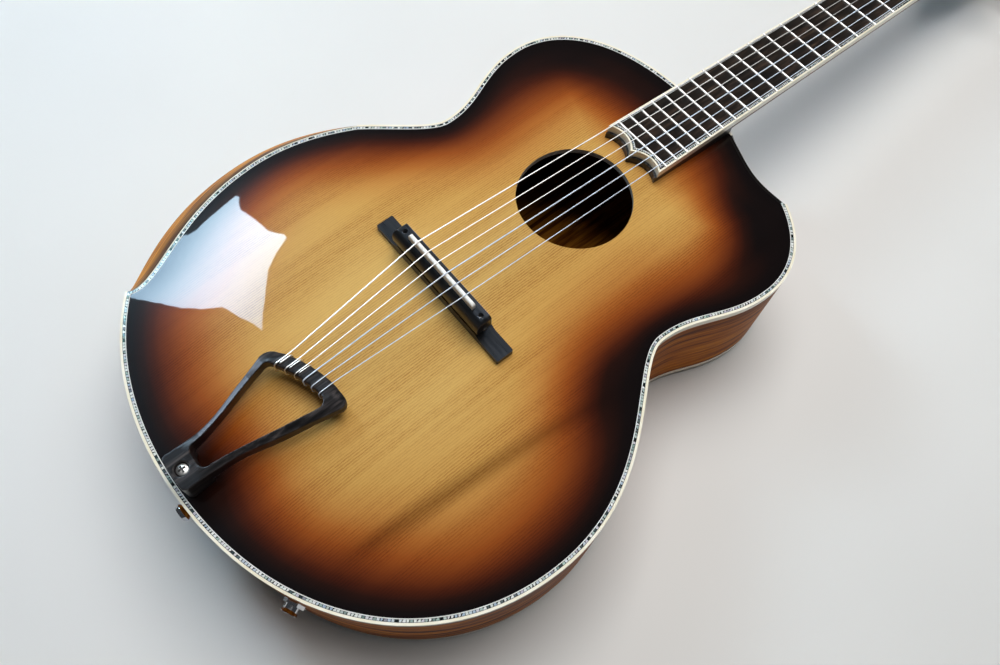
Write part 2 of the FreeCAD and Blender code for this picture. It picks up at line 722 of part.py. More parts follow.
def make_neck():
    plan = head_plan(NUT_THICK)
    before_head = placed(box(-SCALE, NUT_BACK, -SCALE, SCALE, -SCALE, SCALE), NECK_PLACE)
    plate = placed(raised(plan, -HEADPLATE_THICK, 0.0), HEAD_PLACE).cut(before_head)
    head = placed(raised(plan, -HEADPLATE_THICK - HEAD_THICK, -HEADPLATE_THICK), HEAD_PLACE)
    head = head.cut(before_head)
    over_head = placed(box(-NUT_THICK, SCALE, -SCALE, SCALE, -HEADPLATE_THICK, SCALE), HEAD_PLACE)
    shaft_end = NUT_BACK + NUT_THICK
    start = BODY_END_X - NUT_THICK
    sections = [neck_section(start, NECK_DEEP_HEEL), neck_section(shaft_end, NECK_DEEP_NUT)]
    shaft = Part.makeLoft(sections, True, True)
    shaft = placed(shaft, NECK_PLACE).cut(over_head.cut(before_head))
    shaft = shaft.cut(box(-SCALE, BODY_END_X, -SCALE, SCALE, -SCALE, SCALE))
    heel = Part.makeLoft([heel_section(k) for k in range(HEEL_LEVELS + 1)], True, False)
    over_neck = placed(box(0, SCALE, -SCALE, SCALE, BOARD_FOOT, SCALE), NECK_PLACE)
    heel = heel.cut(over_neck)
    tenon = box(BODY_END_X - TENON_LONG, BODY_END_X + NUT_THICK, -TENON_HALF, TENON_HALF,
                TENON_BOTTOM, -TOP_THICK - BINDING_TALL)
    neck = shaft.fuse(heel).fuse(head).fuse(tenon).removeSplitter()
    pocket = box(BODY_END_X - TENON_LONG - TENON_FIT, BODY_END_X, -TENON_HALF, TENON_HALF,
                 TENON_BOTTOM, -TOP_THICK - BINDING_TALL)
    for name in ("bass_side", "treble_side", "neck_block"):
        drill(name, pocket)
    rod_room = box(TRUSS_ROD_FROM, SCALE, -TRUSS_ROD_HALF, TRUSS_ROD_HALF,
                   BOARD_FOOT - TRUSS_ROD_DEEP, BOARD_FOOT)
    truss_rod = placed(rod_room, NECK_PLACE)
    keep("truss_rod", truss_rod)
    keep("neck", neck.cut(truss_rod))
    keep("headplate", plate)
    foot = Part.Face(heel_section(HEEL_LEVELS))
    keep("heel_cap", foot.extrude(V(0, 0, -HEEL_CAP_THICK)))


def string_across(spread, k):
    return spread / 2 - spread * k / (len(STRING_GAUGES) - 1)


def make_nut():
    nut = box(SCALE, NUT_BACK, -NUT_HALF, NUT_HALF, BOARD_FOOT, NUT_OVER_FRETS)
    for k, gauge in enumerate(STRING_GAUGES):
        y = string_across(STRING_SPREAD_NUT, k)
        wide = gauge / 2 + 4 * STRING_GAP
        low = NUT_ACTION - 4 * STRING_GAP
        nut = nut.cut(box(SCALE - 1, NUT_BACK + 1, y - wide, y + wide, low, NUT_OVER_FRETS + 1))
    keep("nut", placed(nut, NECK_PLACE))


# Tuners
HEAD_BACK = -HEADPLATE_THICK - HEAD_THICK
HOUSING_FLOOR = HEAD_BACK - HOUSING_DEEP
KEY_LEVEL = HOUSING_FLOOR + HOUSING_WALL + GEAR_GAP + WORM_R
GEAR_LOW = KEY_LEVEL - GEAR_THICK / 2
WORM_OUT = GEAR_R + WORM_R + GEAR_GAP
CAVITY_BACK = GEAR_R + GEAR_GAP
CAVITY_FRONT = WORM_OUT + WORM_R + GEAR_GAP


def tuner_at(k):
    """Where string k's tuner sits: the bass three climb one side, the treble three the other."""
    row = k if k < 3 else 5 - k
    side = 1 if k < 3 else -1
    return TUNER_FIRST + TUNER_STEP * row, side * (TUNER_OUT - TUNER_LEAN * row), side


def gear(a, b):
    points = []
    for k in range(GEAR_TEETH):
        for share, radius in ((0.0, GEAR_R), (0.35, GEAR_R), (0.5, GEAR_R - TOOTH_DEEP),
                              (0.85, GEAR_R - TOOTH_DEEP)):
            angle = 2 * math.pi * (k + share) / GEAR_TEETH
            points.append(V(a + radius * math.cos(angle), b + radius * math.sin(angle), 0))
    return raised(polygon_face(points), GEAR_LOW, GEAR_LOW + GEAR_THICK)


def make_tuner_post(k):
    a, b, side = tuner_at(k)
    post = pin(POST_R, a, b, GEAR_LOW, POST_TALL).fuse(gear(a, b))
    level = POST_TALL - POST_EYE_DROP
    post = post.cut(rod(POST_EYE_R, V(a - BUSHING_R, b, level), V(a + BUSHING_R, b, level)))
    keep("tuner_post_%d" % (6 - k), placed(post, HEAD_PLACE))


def make_tuner_key(k):
    a, b, side = tuner_at(k)
    worm_half = HOUSING_HALF - HOUSING_WALL - GEAR_GAP
    edge = HEAD_CREST_HALF + KEY_REACH
    x = a + WORM_OUT

    def at(y):
        return V(x, y, KEY_LEVEL)
    key = rod(KEY_R, at(b - side * (HOUSING_HALF - GEAR_GAP)), at(side * (edge + BUTTON_LONG / 2)))
    key = key.fuse(rod(WORM_R - TOOTH_DEEP / 2, at(b - worm_half), at(b + worm_half)))
    pitch = 2 * worm_half / WORM_THREADS
    for t in range(WORM_THREADS):
        start = b - worm_half + pitch * t
        key = key.fuse(rod(WORM_R, at(start), at(start + pitch / 2)))
    outline = Part.Ellipse(V(0, 0, 0), BUTTON_LONG / 2, BUTTON_WIDE / 2).toShape()
    button = Part.Face(Part.Wire(outline)).extrude(V(0, 0, BUTTON_THICK))
    button = button.makeFillet(BUTTON_ROUND, [e for e in button.Edges if len(e.Vertexes) == 1])
    upright = FreeCAD.Rotation(V(0, 0, 1), 90).multiply(FreeCAD.Rotation(V(1, 0, 0), 90))
    seat = FreeCAD.Placement(V(x - BUTTON_THICK / 2, side * (edge + BUTTON_LONG / 2), KEY_LEVEL), upright)
    key = key.fuse(placed(button, seat)).removeSplitter()
    keep("tuner_key_%d" % (6 - k), placed(key, HEAD_PLACE))


def make_tuner_seats():
    """Housings on the back of the head, bushings through it and the screws that hold them."""
    housings = []
    bushings = []
    screws = []
    for k in range(len(STRING_GAUGES)):
        a, b, side = tuner_at(k)
        wall = HOUSING_WALL
        shell = box(a - CAVITY_BACK - wall, a + CAVITY_FRONT + wall, b - HOUSING_HALF, b + HOUSING_HALF,
                    HOUSING_FLOOR, HEAD_BACK)
        flange = box(a - CAVITY_BACK - wall - FLANGE_LONG, a + CAVITY_FRONT + wall + FLANGE_LONG,
                     b - HOUSING_HALF, b + HOUSING_HALF, HEAD_BACK - wall, HEAD_BACK)
        inner = HOUSING_HALF - wall
        shell = shell.fuse(flange)
        shell = shell.cut(box(a - CAVITY_BACK, a + CAVITY_FRONT, b - inner, b + inner,
                              HOUSING_FLOOR + wall, HEAD_BACK))
        x = a + WORM_OUT
        reach = 2 * HOUSING_HALF
        shell = shell.cut(rod(KEY_R + RUN_FIT, V(x, b - reach, KEY_LEVEL), V(x, b + reach, KEY_LEVEL)))
        bushing = pin(BUSHING_R, a, b, HEAD_BACK, 0).fuse(pin(BUSHING_FLANGE_R, a, b, 0, BUSHING_FLANGE))
        bushings.append(bushing.cut(pin(POST_R + RUN_FIT, a, b, HEAD_BACK, BUSHING_FLANGE)))
        for place in (a - CAVITY_BACK - wall - FLANGE_LONG / 2, a + CAVITY_FRONT + wall + FLANGE_LONG / 2):
            screw = pin(SCREW_R, place, b, HEAD_BACK - wall, HEAD_BACK + SCREW_LONG)
            screw = screw.fuse(pin(SCREW_HEAD_R, place, b, HEAD_BACK - wall - SCREW_HEAD, HEAD_BACK - wall))
            screws.append(screw)
            shell = shell.cut(screw)
        housings.append(shell)
        hole = placed(pin(BUSHING_R, a, b, 2 * HEAD_BACK, HEAD_THICK), HEAD_PLACE)
        drill("neck", hole)
        drill("headplate", hole)
    screws = placed(group(screws), HEAD_PLACE)
    for screw in screws.Solids:
        drill("neck", screw)
    keep("tuner_screws", screws)
    keep("tuner_housings", placed(group(housings), HEAD_PLACE))
    keep("tuner_bushings", placed(group(bushings), HEAD_PLACE))


# Bridge
def make_bridge_base():
    step = BASE_STEP_HALF - BASE_STEP_LONG
    half = [(step, BASE_TOP), (BASE_STEP_HALF, BASE_END_TOP), (BASE_HALF, BASE_END_TOP), (BASE_HALF, 0.0)]
    profile = [V(-BASE_BACK, y, z) for y, z in half]
    profile += [V(-BASE_BACK, -y, z) for y, z in half[::-1]]
    base = polygon_face(profile).extrude(V(BASE_FRONT + BASE_BACK, 0, 0))
    uprights = [e for e in base.Edges if abs(e.Vertexes[0].Z - e.Vertexes[1].Z) > BASE_ROUND]
    uprights = [e for e in uprights if abs(e.Vertexes[0].X - e.Vertexes[1].X) < 0.001]
    uprights = [e for e in uprights if abs(abs(e.Vertexes[0].Y) - BASE_HALF) < 0.001]
    base = base.makeFillet(BASE_ROUND, uprights)
    base = base.cut(UNDER_TOP)
    posts = []
    for side in (1, -1):
        post = pin(BRIDGE_POST_R, POST_X, side * POST_Y, BASE_TOP - BRIDGE_POST_SEAT, BRIDGE_POST_TOP)
        posts.append(post)
        base = base.cut(post)
    keep("bridge_base", base)
    keep("bridge_posts", group(posts))


def make_thumbwheels():
    for name, side in (("thumbwheel_bass", 1), ("thumbwheel_treble", -1)):
        top = CARRIER_BOTTOM - RUN_FIT
        low = top - WHEEL_THICK
        y = side * POST_Y
        wheel = pin(WHEEL_R, POST_X, y, low, top)
        for k in range(WHEEL_GRIPS):
            angle = 2 * math.pi * k / WHEEL_GRIPS
            grip_x = POST_X + WHEEL_R * math.cos(angle)
            grip_y = y + WHEEL_R * math.sin(angle)
            wheel = wheel.cut(pin(WHEEL_GRIP_R, grip_x, grip_y, low, top))
        keep(name, wheel.cut(pin(BRIDGE_POST_R + RUN_FIT, POST_X, y, low, top)))


def make_carrier():
    low = CARRIER_BOTTOM
    shelf = V(-CARRIER_BACK, -CARRIER_HALF, low + CARRIER_BACK_TALL)
    brow = V(-CARRIER_FLAT_BACK, -CARRIER_HALF, CARRIER_TOP)
    rise = brow.z - shelf.z
    run = brow.x - shelf.x
    bulge = V(brow.x - run * math.sqrt(0.5), brow.y, shelf.z + rise * math.sqrt(0.5))
    corners = [shelf, V(-CARRIER_BACK, -CARRIER_HALF, low), V(CARRIER_FRONT, -CARRIER_HALF, low),
               V(CARRIER_FRONT, -CARRIER_HALF, CARRIER_TOP), brow]
    edges = [Part.makeLine(p, q) for p, q in zip(corners, corners[1:])]
    edges.append(spline([brow, bulge, shelf]))
    carrier = Part.Face(Part.Wire(edges)).extrude(V(0, 2 * CARRIER_HALF, 0))
    round_ends = box(-2 * CARRIER_BACK, 2 * CARRIER_BACK, -CARRIER_HALF, CARRIER_HALF, 0, CARRIER_TOP)
    round_ends = round_ends.makeFillet(SADDLE_ROUND, [e for e in round_ends.Edges
                                                      if abs(e.BoundBox.XLength - 4 * CARRIER_BACK) < 0.01
                                                      and e.BoundBox.ZMin > low])
    carrier = carrier.common(round_ends)
    for side in (1, -1):
        carrier = carrier.cut(pin(BRIDGE_POST_R + SLIDE_FIT, POST_X, side * POST_Y, 0, SADDLE_TOP))
    thick = SADDLE_THICK / 2
    seat = CARRIER_TOP - SADDLE_SEAT
    flat = SADDLE_TOP - thick
    side_view = [V(-thick, -SADDLE_HALF, seat), V(-thick, SADDLE_HALF, seat),
                 V(-thick, SADDLE_HALF, flat), V(-thick, -SADDLE_HALF, flat)]
    saddle = polygon_face(side_view).extrude(V(SADDLE_THICK, 0, 0))
    saddle = saddle.fuse(rod(thick, V(0, -SADDLE_HALF, flat), V(0, SADDLE_HALF, flat))).removeSplitter()
    ends = box(-thick, thick, -SADDLE_HALF, SADDLE_HALF, seat, SADDLE_TOP)
    tops = [e for e in ends.Edges if e.BoundBox.ZMin > flat]
    tops = [e for e in tops if abs(e.BoundBox.XLength - SADDLE_THICK) < 0.01]
    saddle = saddle.common(ends.makeFillet(SADDLE_ROUND, tops))
    keep("bridge_carrier", carrier.cut(saddle))
    keep("saddle", saddle)


# Tailpiece
def bar_front(y):
    """Where the bar's front edge lies at a place across: a bow from its bass end to its treble end."""
    share = (y - BAR_BASS_Y) / (BAR_TREBLE_Y - BAR_BASS_Y)
    middle = 2 * BAR_MIDDLE_X - (BAR_BASS_X + BAR_TREBLE_X) / 2
    return ((1 - share) ** 2 * BAR_BASS_X + 2 * share * (1 - share) * middle + share ** 2 * BAR_TREBLE_X)


def bar_line(y0, y1, back):
    """Points along the bar, a given way behind its front edge."""
    count = 8
    ys = [y0 + (y1 - y0) * k / count for k in range(count + 1)]
    return [V(bar_front(y) - back, y, 0) for y in ys]


def round_corner(start, corner, end):
    """A bend from one edge to the next, pulled half way to the corner that they would meet in."""
    middle = (start + end) * 0.5
    return Part.Arc(start, (middle + corner) * 0.5, end).toShape()


def tailpiece_edges(side, z):
    """One half of the tailpiece's outline at a level: foot corner, arm and the round end of the bar."""
    drop = BAR_TOP - z
    end_y = BAR_BASS_Y if side > 0 else BAR_TREBLE_Y
    end_y += side * BAR_DRAFT * drop
    corner = V(bar_front(end_y), end_y, z)
    tip_y = end_y - side * BAR_END_ROUND
    tip = V(bar_front(tip_y), tip_y, z)
    arm = [V(FOOT_TAIL_X + FOOT_ROUND, side * FOOT_HALF, z)]
    arm += [V(x, side * (half + draft * drop), z) for x, half, draft in ARM_LINE]
    arm.append(corner - V(1.6 * BAR_END_ROUND, side * 0.15 * BAR_END_ROUND, 0))
    tail = V(FOOT_TAIL_X, side * (FOOT_HALF - FOOT_ROUND), z)
    heel = V(FOOT_TAIL_X, side * FOOT_HALF, z)
    edges = [round_corner(tail, heel, arm[0]), spline(arm), round_corner(arm[-1], corner, tip)]
    return edges, tail, tip


def tailpiece_wire(z):
    """The tailpiece from above at one level, wider further down by the draft of its sides."""
    bass, bass_tail, bass_tip = tailpiece_edges(1, z)
    treble, treble_tail, treble_tip = tailpiece_edges(-1, z)
    front = spline([p + V(0, 0, z) for p in bar_line(bass_tip.y, treble_tip.y, 0)])
    return Part.Wire(bass + [front] + treble[::-1] + [Part.makeLine(treble_tail, bass_tail)])


def opening_edges(side):
    """One half of the open triangle: crotch, leg and the round corner behind the bar."""
    seat = V(bar_front(side * OPENING_HALF) - BAR_DEEP, side * OPENING_HALF, 0)
    leg_end = seat.x - OPENING_ROUND
    (x0, y0), (x1, y1) = LEG_LINE[-2:]
    half = y0 + (leg_end - x0) / (x1 - x0) * (y1 - y0)
    leg = [V(x, side * y, 0) for x, y in LEG_LINE[:-1]] + [V(leg_end, side * half, 0)]
    hook = V(CROTCH_X, side * CROTCH_HALF, 0)
    crotch = round_corner(hook, V(CROTCH_X, leg[0].y - side * CROTCH_FULL, 0), leg[0])
    corner = V(seat.x, side * (half + CROTCH_FULL), 0)
    inside = V(bar_front(seat.y) - BAR_DEEP / 3, seat.y, 0)
    edges = [crotch, spline(leg), round_corner(leg[-1], corner, seat), Part.makeLine(seat, inside)]
    return edges, hook


def tailpiece_opening():
    """The open triangle between the arms, up to inside the bar."""
    bass, bass_hook = opening_edges(1)
    treble, treble_hook = opening_edges(-1)
    front = spline(bar_line(OPENING_HALF, -OPENING_HALF, BAR_DEEP / 3))
    edges = bass + [front] + treble[::-1] + [Part.makeLine(treble_hook, bass_hook)]
    return raised(Part.Face(Part.Wire(edges)), -2, FRET_PLANE_Z)


def ahead_of_bar():
    """The room in front of the bar's middle, where the arms stop and the bar's own shape shows."""
    far = LOWER_BOUT_HALF
    line = bar_line(2 * BAR_BASS_Y, 2 * BAR_TREBLE_Y, BAR_DEEP / 2)
    corners = [line[-1], V(far, line[-1].y, 0), V(far, line[0].y, 0), line[0]]
    edges = [spline(line)] + [Part.makeLine(p, q) for p, q in zip(corners, corners[1:])]
    return raised(Part.Face(Part.Wire(edges)), -2, FRET_PLANE_Z)


def bar_section(y):
    """A rectangle with round corners, square to the strings."""
    front = bar_front(y)
    back = front - BAR_DEEP
    points = [V(back, y, BAR_BOTTOM), V(front, y, BAR_BOTTOM), V(front, y, BAR_TOP), V(back, y, BAR_TOP)]
    cut = math.sqrt(0.5)
    outline = []
    count = len(points)
    for n in range(count):
        before = unit(points[n - 1] - points[n]) * BAR_ROUND
        after = unit(points[(n + 1) % count] - points[n]) * BAR_ROUND
        start = points[n] + before
        end = points[n] + after
        crown = points[n] + (before + after) * (1 - cut)
        outline.append((start, crown, end))
    wire = []
    for n, (start, crown, end) in enumerate(outline):
        wire.append(Part.Arc(start, crown, end).toShape())
        wire.append(Part.makeLine(end, outline[(n + 1) % count][0]))
    return Part.Wire(wire)


def make_tailpiece():
    ahead = 0.0
    side_view = [V(FOOT_TAIL_X - 1, 0, -1), V(FOOT_TAIL_X - 1, 0, FOOT_TOP), V(FOOT_FRONT_X, 0, FOOT_TOP),
                 V(BAR_LEVEL_X, 0, BAR_TOP), V(ahead, 0, BAR_TOP), V(ahead, 0, BAR_BOTTOM),
                 V(BAR_UNDER_X, 0, BAR_BOTTOM), V(ARM_UNDER_X, 0, ARM_UNDER_Z), V(ARM_UNDER_X, 0, -1)]
    across = 12 * FOOT_HALF
    slab = polygon_face(side_view).extrude(V(0, across, 0)).translated(V(0, -across / 2, 0))
    block = Part.makeLoft([tailpiece_wire(-1.0), tailpiece_wire(BAR_TOP + 1)], True, True)
    arms = block.common(slab).cut(tailpiece_opening()).cut(ahead_of_bar())
    line = bar_line(BAR_BASS_Y + BAR_END_ROUND, BAR_TREBLE_Y - BAR_END_ROUND, 0)
    bar = Part.makeLoft([bar_section(p.y) for p in line], True, False).common(block)
    piece = arms.fuse(bar).removeSplitter()
    piece = piece.cut(UNDER_TOP)
    piece = piece.cut(pin(COUNTERBORE_R, TAIL_SCREW_X, 0, FOOT_TOP - COUNTERBORE_DEEP, BAR_TOP))
    head_low = FOOT_TOP - COUNTERBORE_DEEP
    screw = pin(TAIL_SCREW_R, TAIL_SCREW_X, 0, head_low - TAIL_SCREW_LONG, head_low)
    screw = screw.fuse(pin(TAIL_SCREW_HEAD_R, TAIL_SCREW_X, 0, head_low, head_low + TAIL_SCREW_HEAD))
    recess_low = head_low + TAIL_SCREW_HEAD - CROSS_DEEP
    for long, wide in ((CROSS_LONG, CROSS_WIDE), (CROSS_WIDE, CROSS_LONG)):
        screw = screw.cut(box(TAIL_SCREW_X - long / 2, TAIL_SCREW_X + long / 2, -wide / 2, wide / 2,
                              recess_low, FOOT_TOP))
    keep("tailpiece_screw", screw)
    keep("tailpiece", piece.cut(pin(TAIL_SCREW_R, TAIL_SCREW_X, 0, -BODY_DEPTH, BAR_TOP)))
    drill("tail_block", pin(TAIL_SCREW_R, TAIL_SCREW_X, 0, head_low - TAIL_SCREW_LONG, BAR_TOP))


# Strap button, jack, pickup
def make_strap_button():
    tip = TAIL_X - STRAP_OUT
    profile = [V(TAIL_X + 1, 0, 0), V(TAIL_X + 1, STRAP_NECK_R + 1, 0),
               V(TAIL_X - STRAP_OUT / 3, STRAP_NECK_R, 0), V(tip + STRAP_FLANGE, STRAP_FLANGE_R, 0),
               V(tip, STRAP_FLANGE_R - 1, 0), V(tip, 0, 0)]
    button = polygon_face(profile).revolve(V(0, 0, 0), V(1, 0, 0), 360).translated(V(0, 0, STRAP_Z))
    button = button.cut(prism(0.0, -BODY_DEPTH, 0.0))
    inner = V(TAIL_X - STRAP_OUT + STRAP_SCREW_LONG, 0, STRAP_Z)
    outer = V(tip + 0.4, 0, STRAP_Z)
    screw = rod(STRAP_SCREW_R, inner, outer)
    cone = Part.makeCone(STRAP_SCREW_HEAD_R, STRAP_SCREW_R, STRAP_FLANGE, outer, V(1, 0, 0))
    screw = screw.fuse(cone)
    for long, wide in ((CROSS_LONG, CROSS_WIDE), (CROSS_WIDE, CROSS_LONG)):
        screw = screw.cut(box(tip, outer.x + CROSS_DEEP, -long / 2, long / 2,
                              STRAP_Z - wide / 2, STRAP_Z + wide / 2))
    room = rod(STRAP_SCREW_R, inner, V(tip - 1, 0, STRAP_Z)).fuse(cone)
    room = room.fuse(rod(STRAP_SCREW_HEAD_R, outer, V(tip - 1, 0, STRAP_Z)))
    keep("strap_button", button.cut(room))
    keep("strap_button_screw", screw)
    for name in ("bass_side", "treble_side", "tail_block"):
        drill(name, rod(STRAP_SCREW_R, inner, outer))


def make_jack():
    seat = rim_at(JACK_AT, 0.0, JACK_Z)
    seat = V(seat.x, -seat.y, seat.z)
    out = rim_normal(JACK_AT)
    out = V(out.x, -out.y, 0)

    def at(reach):
        return seat + out * reach
    barrel = rod(JACK_R, at(-JACK_IN), at(JACK_OUT))
    lip = Part.makeCone(JACK_R, JACK_LIP_R, JACK_LIP, at(JACK_OUT - JACK_LIP), out)
    inside = rod(JACK_BODY_R, at(-JACK_IN), at(-SIDE_THICK)).common(prism(SIDE_THICK, -BODY_DEPTH, 0.0))
    jack = barrel.fuse(lip).fuse(inside)
    jack = jack.cut(rod(JACK_BORE_R, at(HOUSING_WALL - JACK_IN), at(JACK_OUT)))
    keep("output_jack", jack)
    corners = []
    across = V(-out.y, out.x, 0)
    for k in range(6):
        angle = math.pi * k / 3
        reach = across * (JACK_NUT_R * math.cos(angle))
        corners.append(at(-1.0) + reach + V(0, 0, JACK_NUT_R * math.sin(angle)))
    nut = polygon_face(corners).extrude(out * (JACK_NUT_THICK + 1.0))
    keep("jack_nut", nut.cut(prism(0.0, -BODY_DEPTH, 0.0)).cut(barrel))
    drill("treble_side", barrel)
    return at(-JACK_IN), out


# Strings: runs of straight lines and round bends, swept into one tube
def arc_edge(a, corner, b):
    middle = (a + b) * 0.5
    half = a.distanceToPoint(b) / 2
    lean = math.acos(min(1.0, half / a.distanceToPoint(corner)))
    if lean < 1e-6:
        return Part.makeLine(a, b)
    return Part.Arc(a, middle + (corner - middle) * (math.tan(lean / 2) / math.tan(lean)), b).toShape()


def join(p0, t0, p1, t1):
    """A straight line, or two round bends that meet smoothly."""
    v = p1 - p0
    if v.getAngle(t0) < 1e-6 and v.getAngle(t1) < 1e-6:
        return [Part.makeLine(p0, p1)]
    t = t0 + t1
    k = 2 * (1 - t0.dot(t1))
    if k < 1e-9:
        d = v.dot(v) / (4 * v.dot(t1))
    else:
        d = (-v.dot(t) + math.sqrt(v.dot(t) ** 2 + k * v.dot(v))) / k
    q0 = p0 + t0 * d
    q1 = p1 - t1 * d
    middle = (q0 + q1) * 0.5
    return [arc_edge(p0, q0, middle), arc_edge(middle, q1, p1)]


def corner_stations(before, corner, after, radius):
    """The start and end of a round bend in place of a corner."""
    t0 = unit(corner - before)
    t1 = unit(after - corner)
    reach = radius * math.tan(t0.getAngle(t1) / 2)
    return [(corner - t0 * reach, t0), (corner + t1 * reach, t1)]


def swept(stations, radius):
    """A round cord along its stations."""
    edges = []
    for (p0, t0), (p1, t1) in zip(stations, stations[1:]):
        edges += join(p0, t0, p1, t1)
    path = Part.Wire(edges)
    maker = Part.BRepOffsetAPI.MakePipeShell(path)
    maker.add(Part.Wire(Part.makeCircle(radius, stations[0][0], stations[0][1])))
    maker.build()
    maker.makeSolid()
    return maker.shape(), path


def tie_stations(k, radius):
    """The tie round the tailpiece bar, from its loose end to the run up to the saddle."""
    y0 = string_across(BAR_SPREAD, k)
    reach = TIE_GAP + radius
    bend = BAR_ROUND + reach
    front = bar_front(y0) + reach
    back = bar_front(y0) - BAR_DEEP - reach
    top = BAR_TOP + reach
    low = BAR_BOTTOM - reach
    loop = [(front - bend, top, 1, 0), (front, top - bend, 0, -1), (front, low + bend, 0, -1),
            (front - bend, low, -1, 0), (back + bend, low, -1, 0), (back, low + bend, 0, 1),
            (back, top - bend, 0, 1), (back + bend, top, 1, 0), (front - bend, top, 1, 0)]
    if k < WOUND_STRINGS:
        loop.insert(0, (back + bend, top, 1, 0))
    else:
        loop = loop[3:]
    lengths = [0.0]
    for (x0, z0, i0, j0), (x1, z1, i1, j1) in zip(loop, loop[1:]):
        straight = math.hypot(x1 - x0, z1 - z0)
        lengths.append(lengths[-1] + (straight if (i0, j0) == (i1, j1) else bend * math.pi / 2))
    round_once = 2 * (front - back - 2 * bend) + 2 * (top - low - 2 * bend) + 2 * math.pi * bend
    drift = (2 * radius + TIE_STEP) / round_once
    stations = []
    for (x, z, i, j), length in zip(loop, lengths):
        y = y0 + drift * (length - lengths[-1])
        slant = (bar_front(y + TIE_STEP) - bar_front(y - TIE_STEP)) / (2 * TIE_STEP)
        place = V(x + bar_front(y) - bar_front(y0), y, z)
        stations.append((place, unit(V(i + slant * drift, drift, j))))
    return stations


def string_stations(k):
    radius = STRING_GAUGES[k] / 2
    stations = tie_stations(k, radius)
    last, heading = stations[-1]
    ridge = V(0, string_across(STRING_SPREAD_BRIDGE, k), SADDLE_TOP + STRING_GAP + radius + 0.11)
    nut_level = NUT_ACTION + radius
    nut_corner = NECK_PLACE.multVec(V(NUT_BACK, string_across(STRING_SPREAD_NUT, k), nut_level))
    to_head = HEAD_PLACE.inverse().multVec(nut_corner)
    a, b, side = tuner_at(k)
    coil_r = POST_R + COIL_GAP + radius
    reach = math.hypot(a - to_head.x, b - to_head.y)
    bearing = math.atan2(b - to_head.y, a - to_head.x) - side * math.asin(coil_r / reach)
    run = math.sqrt(reach ** 2 - coil_r ** 2)
    touch = V(to_head.x + run * math.cos(bearing), to_head.y + run * math.sin(bearing), COIL_TOP)
    lead = HEAD_PLACE.multVec(to_head + (touch - to_head) * (1 - 4.0 / run))
    start = ridge
    for _ in range(4):
        towards = unit(ridge - start) if start != ridge else unit(ridge - last)
        start = last + unit(heading + towards) * 8.0
    stations.append((start, unit(ridge - start)))
    stations += corner_stations(start, ridge, nut_corner, SADDLE_BEND_R)
    stations += corner_stations(ridge, nut_corner, lead, NUT_BEND_R)
    stations.append((lead, unit(lead - nut_corner)))
    pitch = 2 * radius + COIL_STEP
    quarters = int(round(COIL_TURNS * 4))
    for q in range(quarters + 1):
        theta = math.pi / 4 + math.pi / 2 * q
        angle = bearing - side * math.pi / 2 + side * theta
        place = V(a + coil_r * math.cos(angle), b + coil_r * math.sin(angle),
                  COIL_TOP - pitch * theta / (2 * math.pi))
        way = V(-side * coil_r * math.sin(angle), side * coil_r * math.cos(angle), -pitch / (2 * math.pi))
        stations.append((HEAD_PLACE.multVec(place), unit(HEAD_PLACE.Rotation.multVec(way))))
    return stations


def least_gap(path, diameter):
    """The least room between two turns of one cord, measured on points along it."""
    count = int(path.Length)
    points = path.discretize(count)
    near = 1e9
    for i, p in enumerate(points):
        for q in points[i + int(4 * diameter) + 3:i + 90]:
            near = min(near, p.distanceToPoint(q))
    return near - diameter


def make_strings():
    for k, gauge in enumerate(STRING_GAUGES):
        cord, path = swept(string_stations(k), gauge / 2)
        keep("string_%d" % (6 - k), cord)
        whole = math.pi * gauge ** 2 / 4 * path.Length
        print("string", 6 - k, cord.isValid(), "volume share", round(cord.Volume / whole, 4),
              "least gap", round(least_gap(path, gauge), 2), "length", round(path.Length, 1))


def make_pickup(jack_end, jack_out):
    disc = pin(PICKUP_R, PICKUP_X, PICKUP_Y, 0, FRET_PLANE_Z)
    under = disc.cut(OVER_TOP_INSIDE)
    lowest = TOP_ARCH - PICKUP_THICK - TOP_THICK
    disc = under.common(box(-SCALE, SCALE, -SCALE, SCALE, lowest, FRET_PLANE_Z))
    keep("pickup", disc)
    start = V(PICKUP_X - PICKUP_R, PICKUP_Y, lowest + LEAD_R)
    clip = V(LEAD_CLIP_X, -TONE_BAR_Y + TONE_BAR_WIDE / 2 + LEAD_R, TONE_BAR_BOTTOM + LEAD_CLIP_DROP)
    end = jack_end
    stations = [(start, V(-1, 0, 0)), (clip, unit(V(-1, -0.2, -0.2))), (end, jack_out)]
    lead, path = swept(stations, LEAD_R)
    keep("pickup_lead", lead)
    print("lead", lead.isValid(), lead.Volume / (math.pi * LEAD_R ** 2 * path.Length))


def export():
    """Lay the guitar on its back with the origin under the middle of its box and write each piece."""
    whole = FreeCAD.BoundBox()
    for name, shape in nodes.items():
        if not shape.Solids or shape.Volume <= 0 or not shape.isValid():
            print("CHECK", name, len(shape.Solids), shape.Volume, shape.isValid())
            continue
        whole.add(shape.optimalBoundingBox(True, False))
    print("box", whole)
    move = V(-(whole.XMin + whole.XMax) / 2, -(whole.YMin + whole.YMax) / 2, -whole.ZMin)
    print("moved by", move)
    os.makedirs("parts", exist_ok=True)
    for name, shape in nodes.items():
        shape.translated(move).exportStep("parts/" + name + ".step")


make_plates()
bevel_rooms = make_rim()
make_blocks(bevel_rooms)
make_tone_bars()
make_board()
make_riser()
make_neck()
make_nut()
for number in range(len(STRING_GAUGES)):
    make_tuner_post(number)
    make_tuner_key(number)
make_tuner_seats()
make_bridge_base()
make_thumbwheels()
make_carrier()
make_tailpiece()
make_strap_button()
jack_end, jack_out = make_jack()
make_strings()
make_pickup(jack_end, jack_out)
export()
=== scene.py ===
import math

import bmesh
import bpy
import numpy as np
from mathutils import Matrix, Vector
from mathutils.kdtree import KDTree


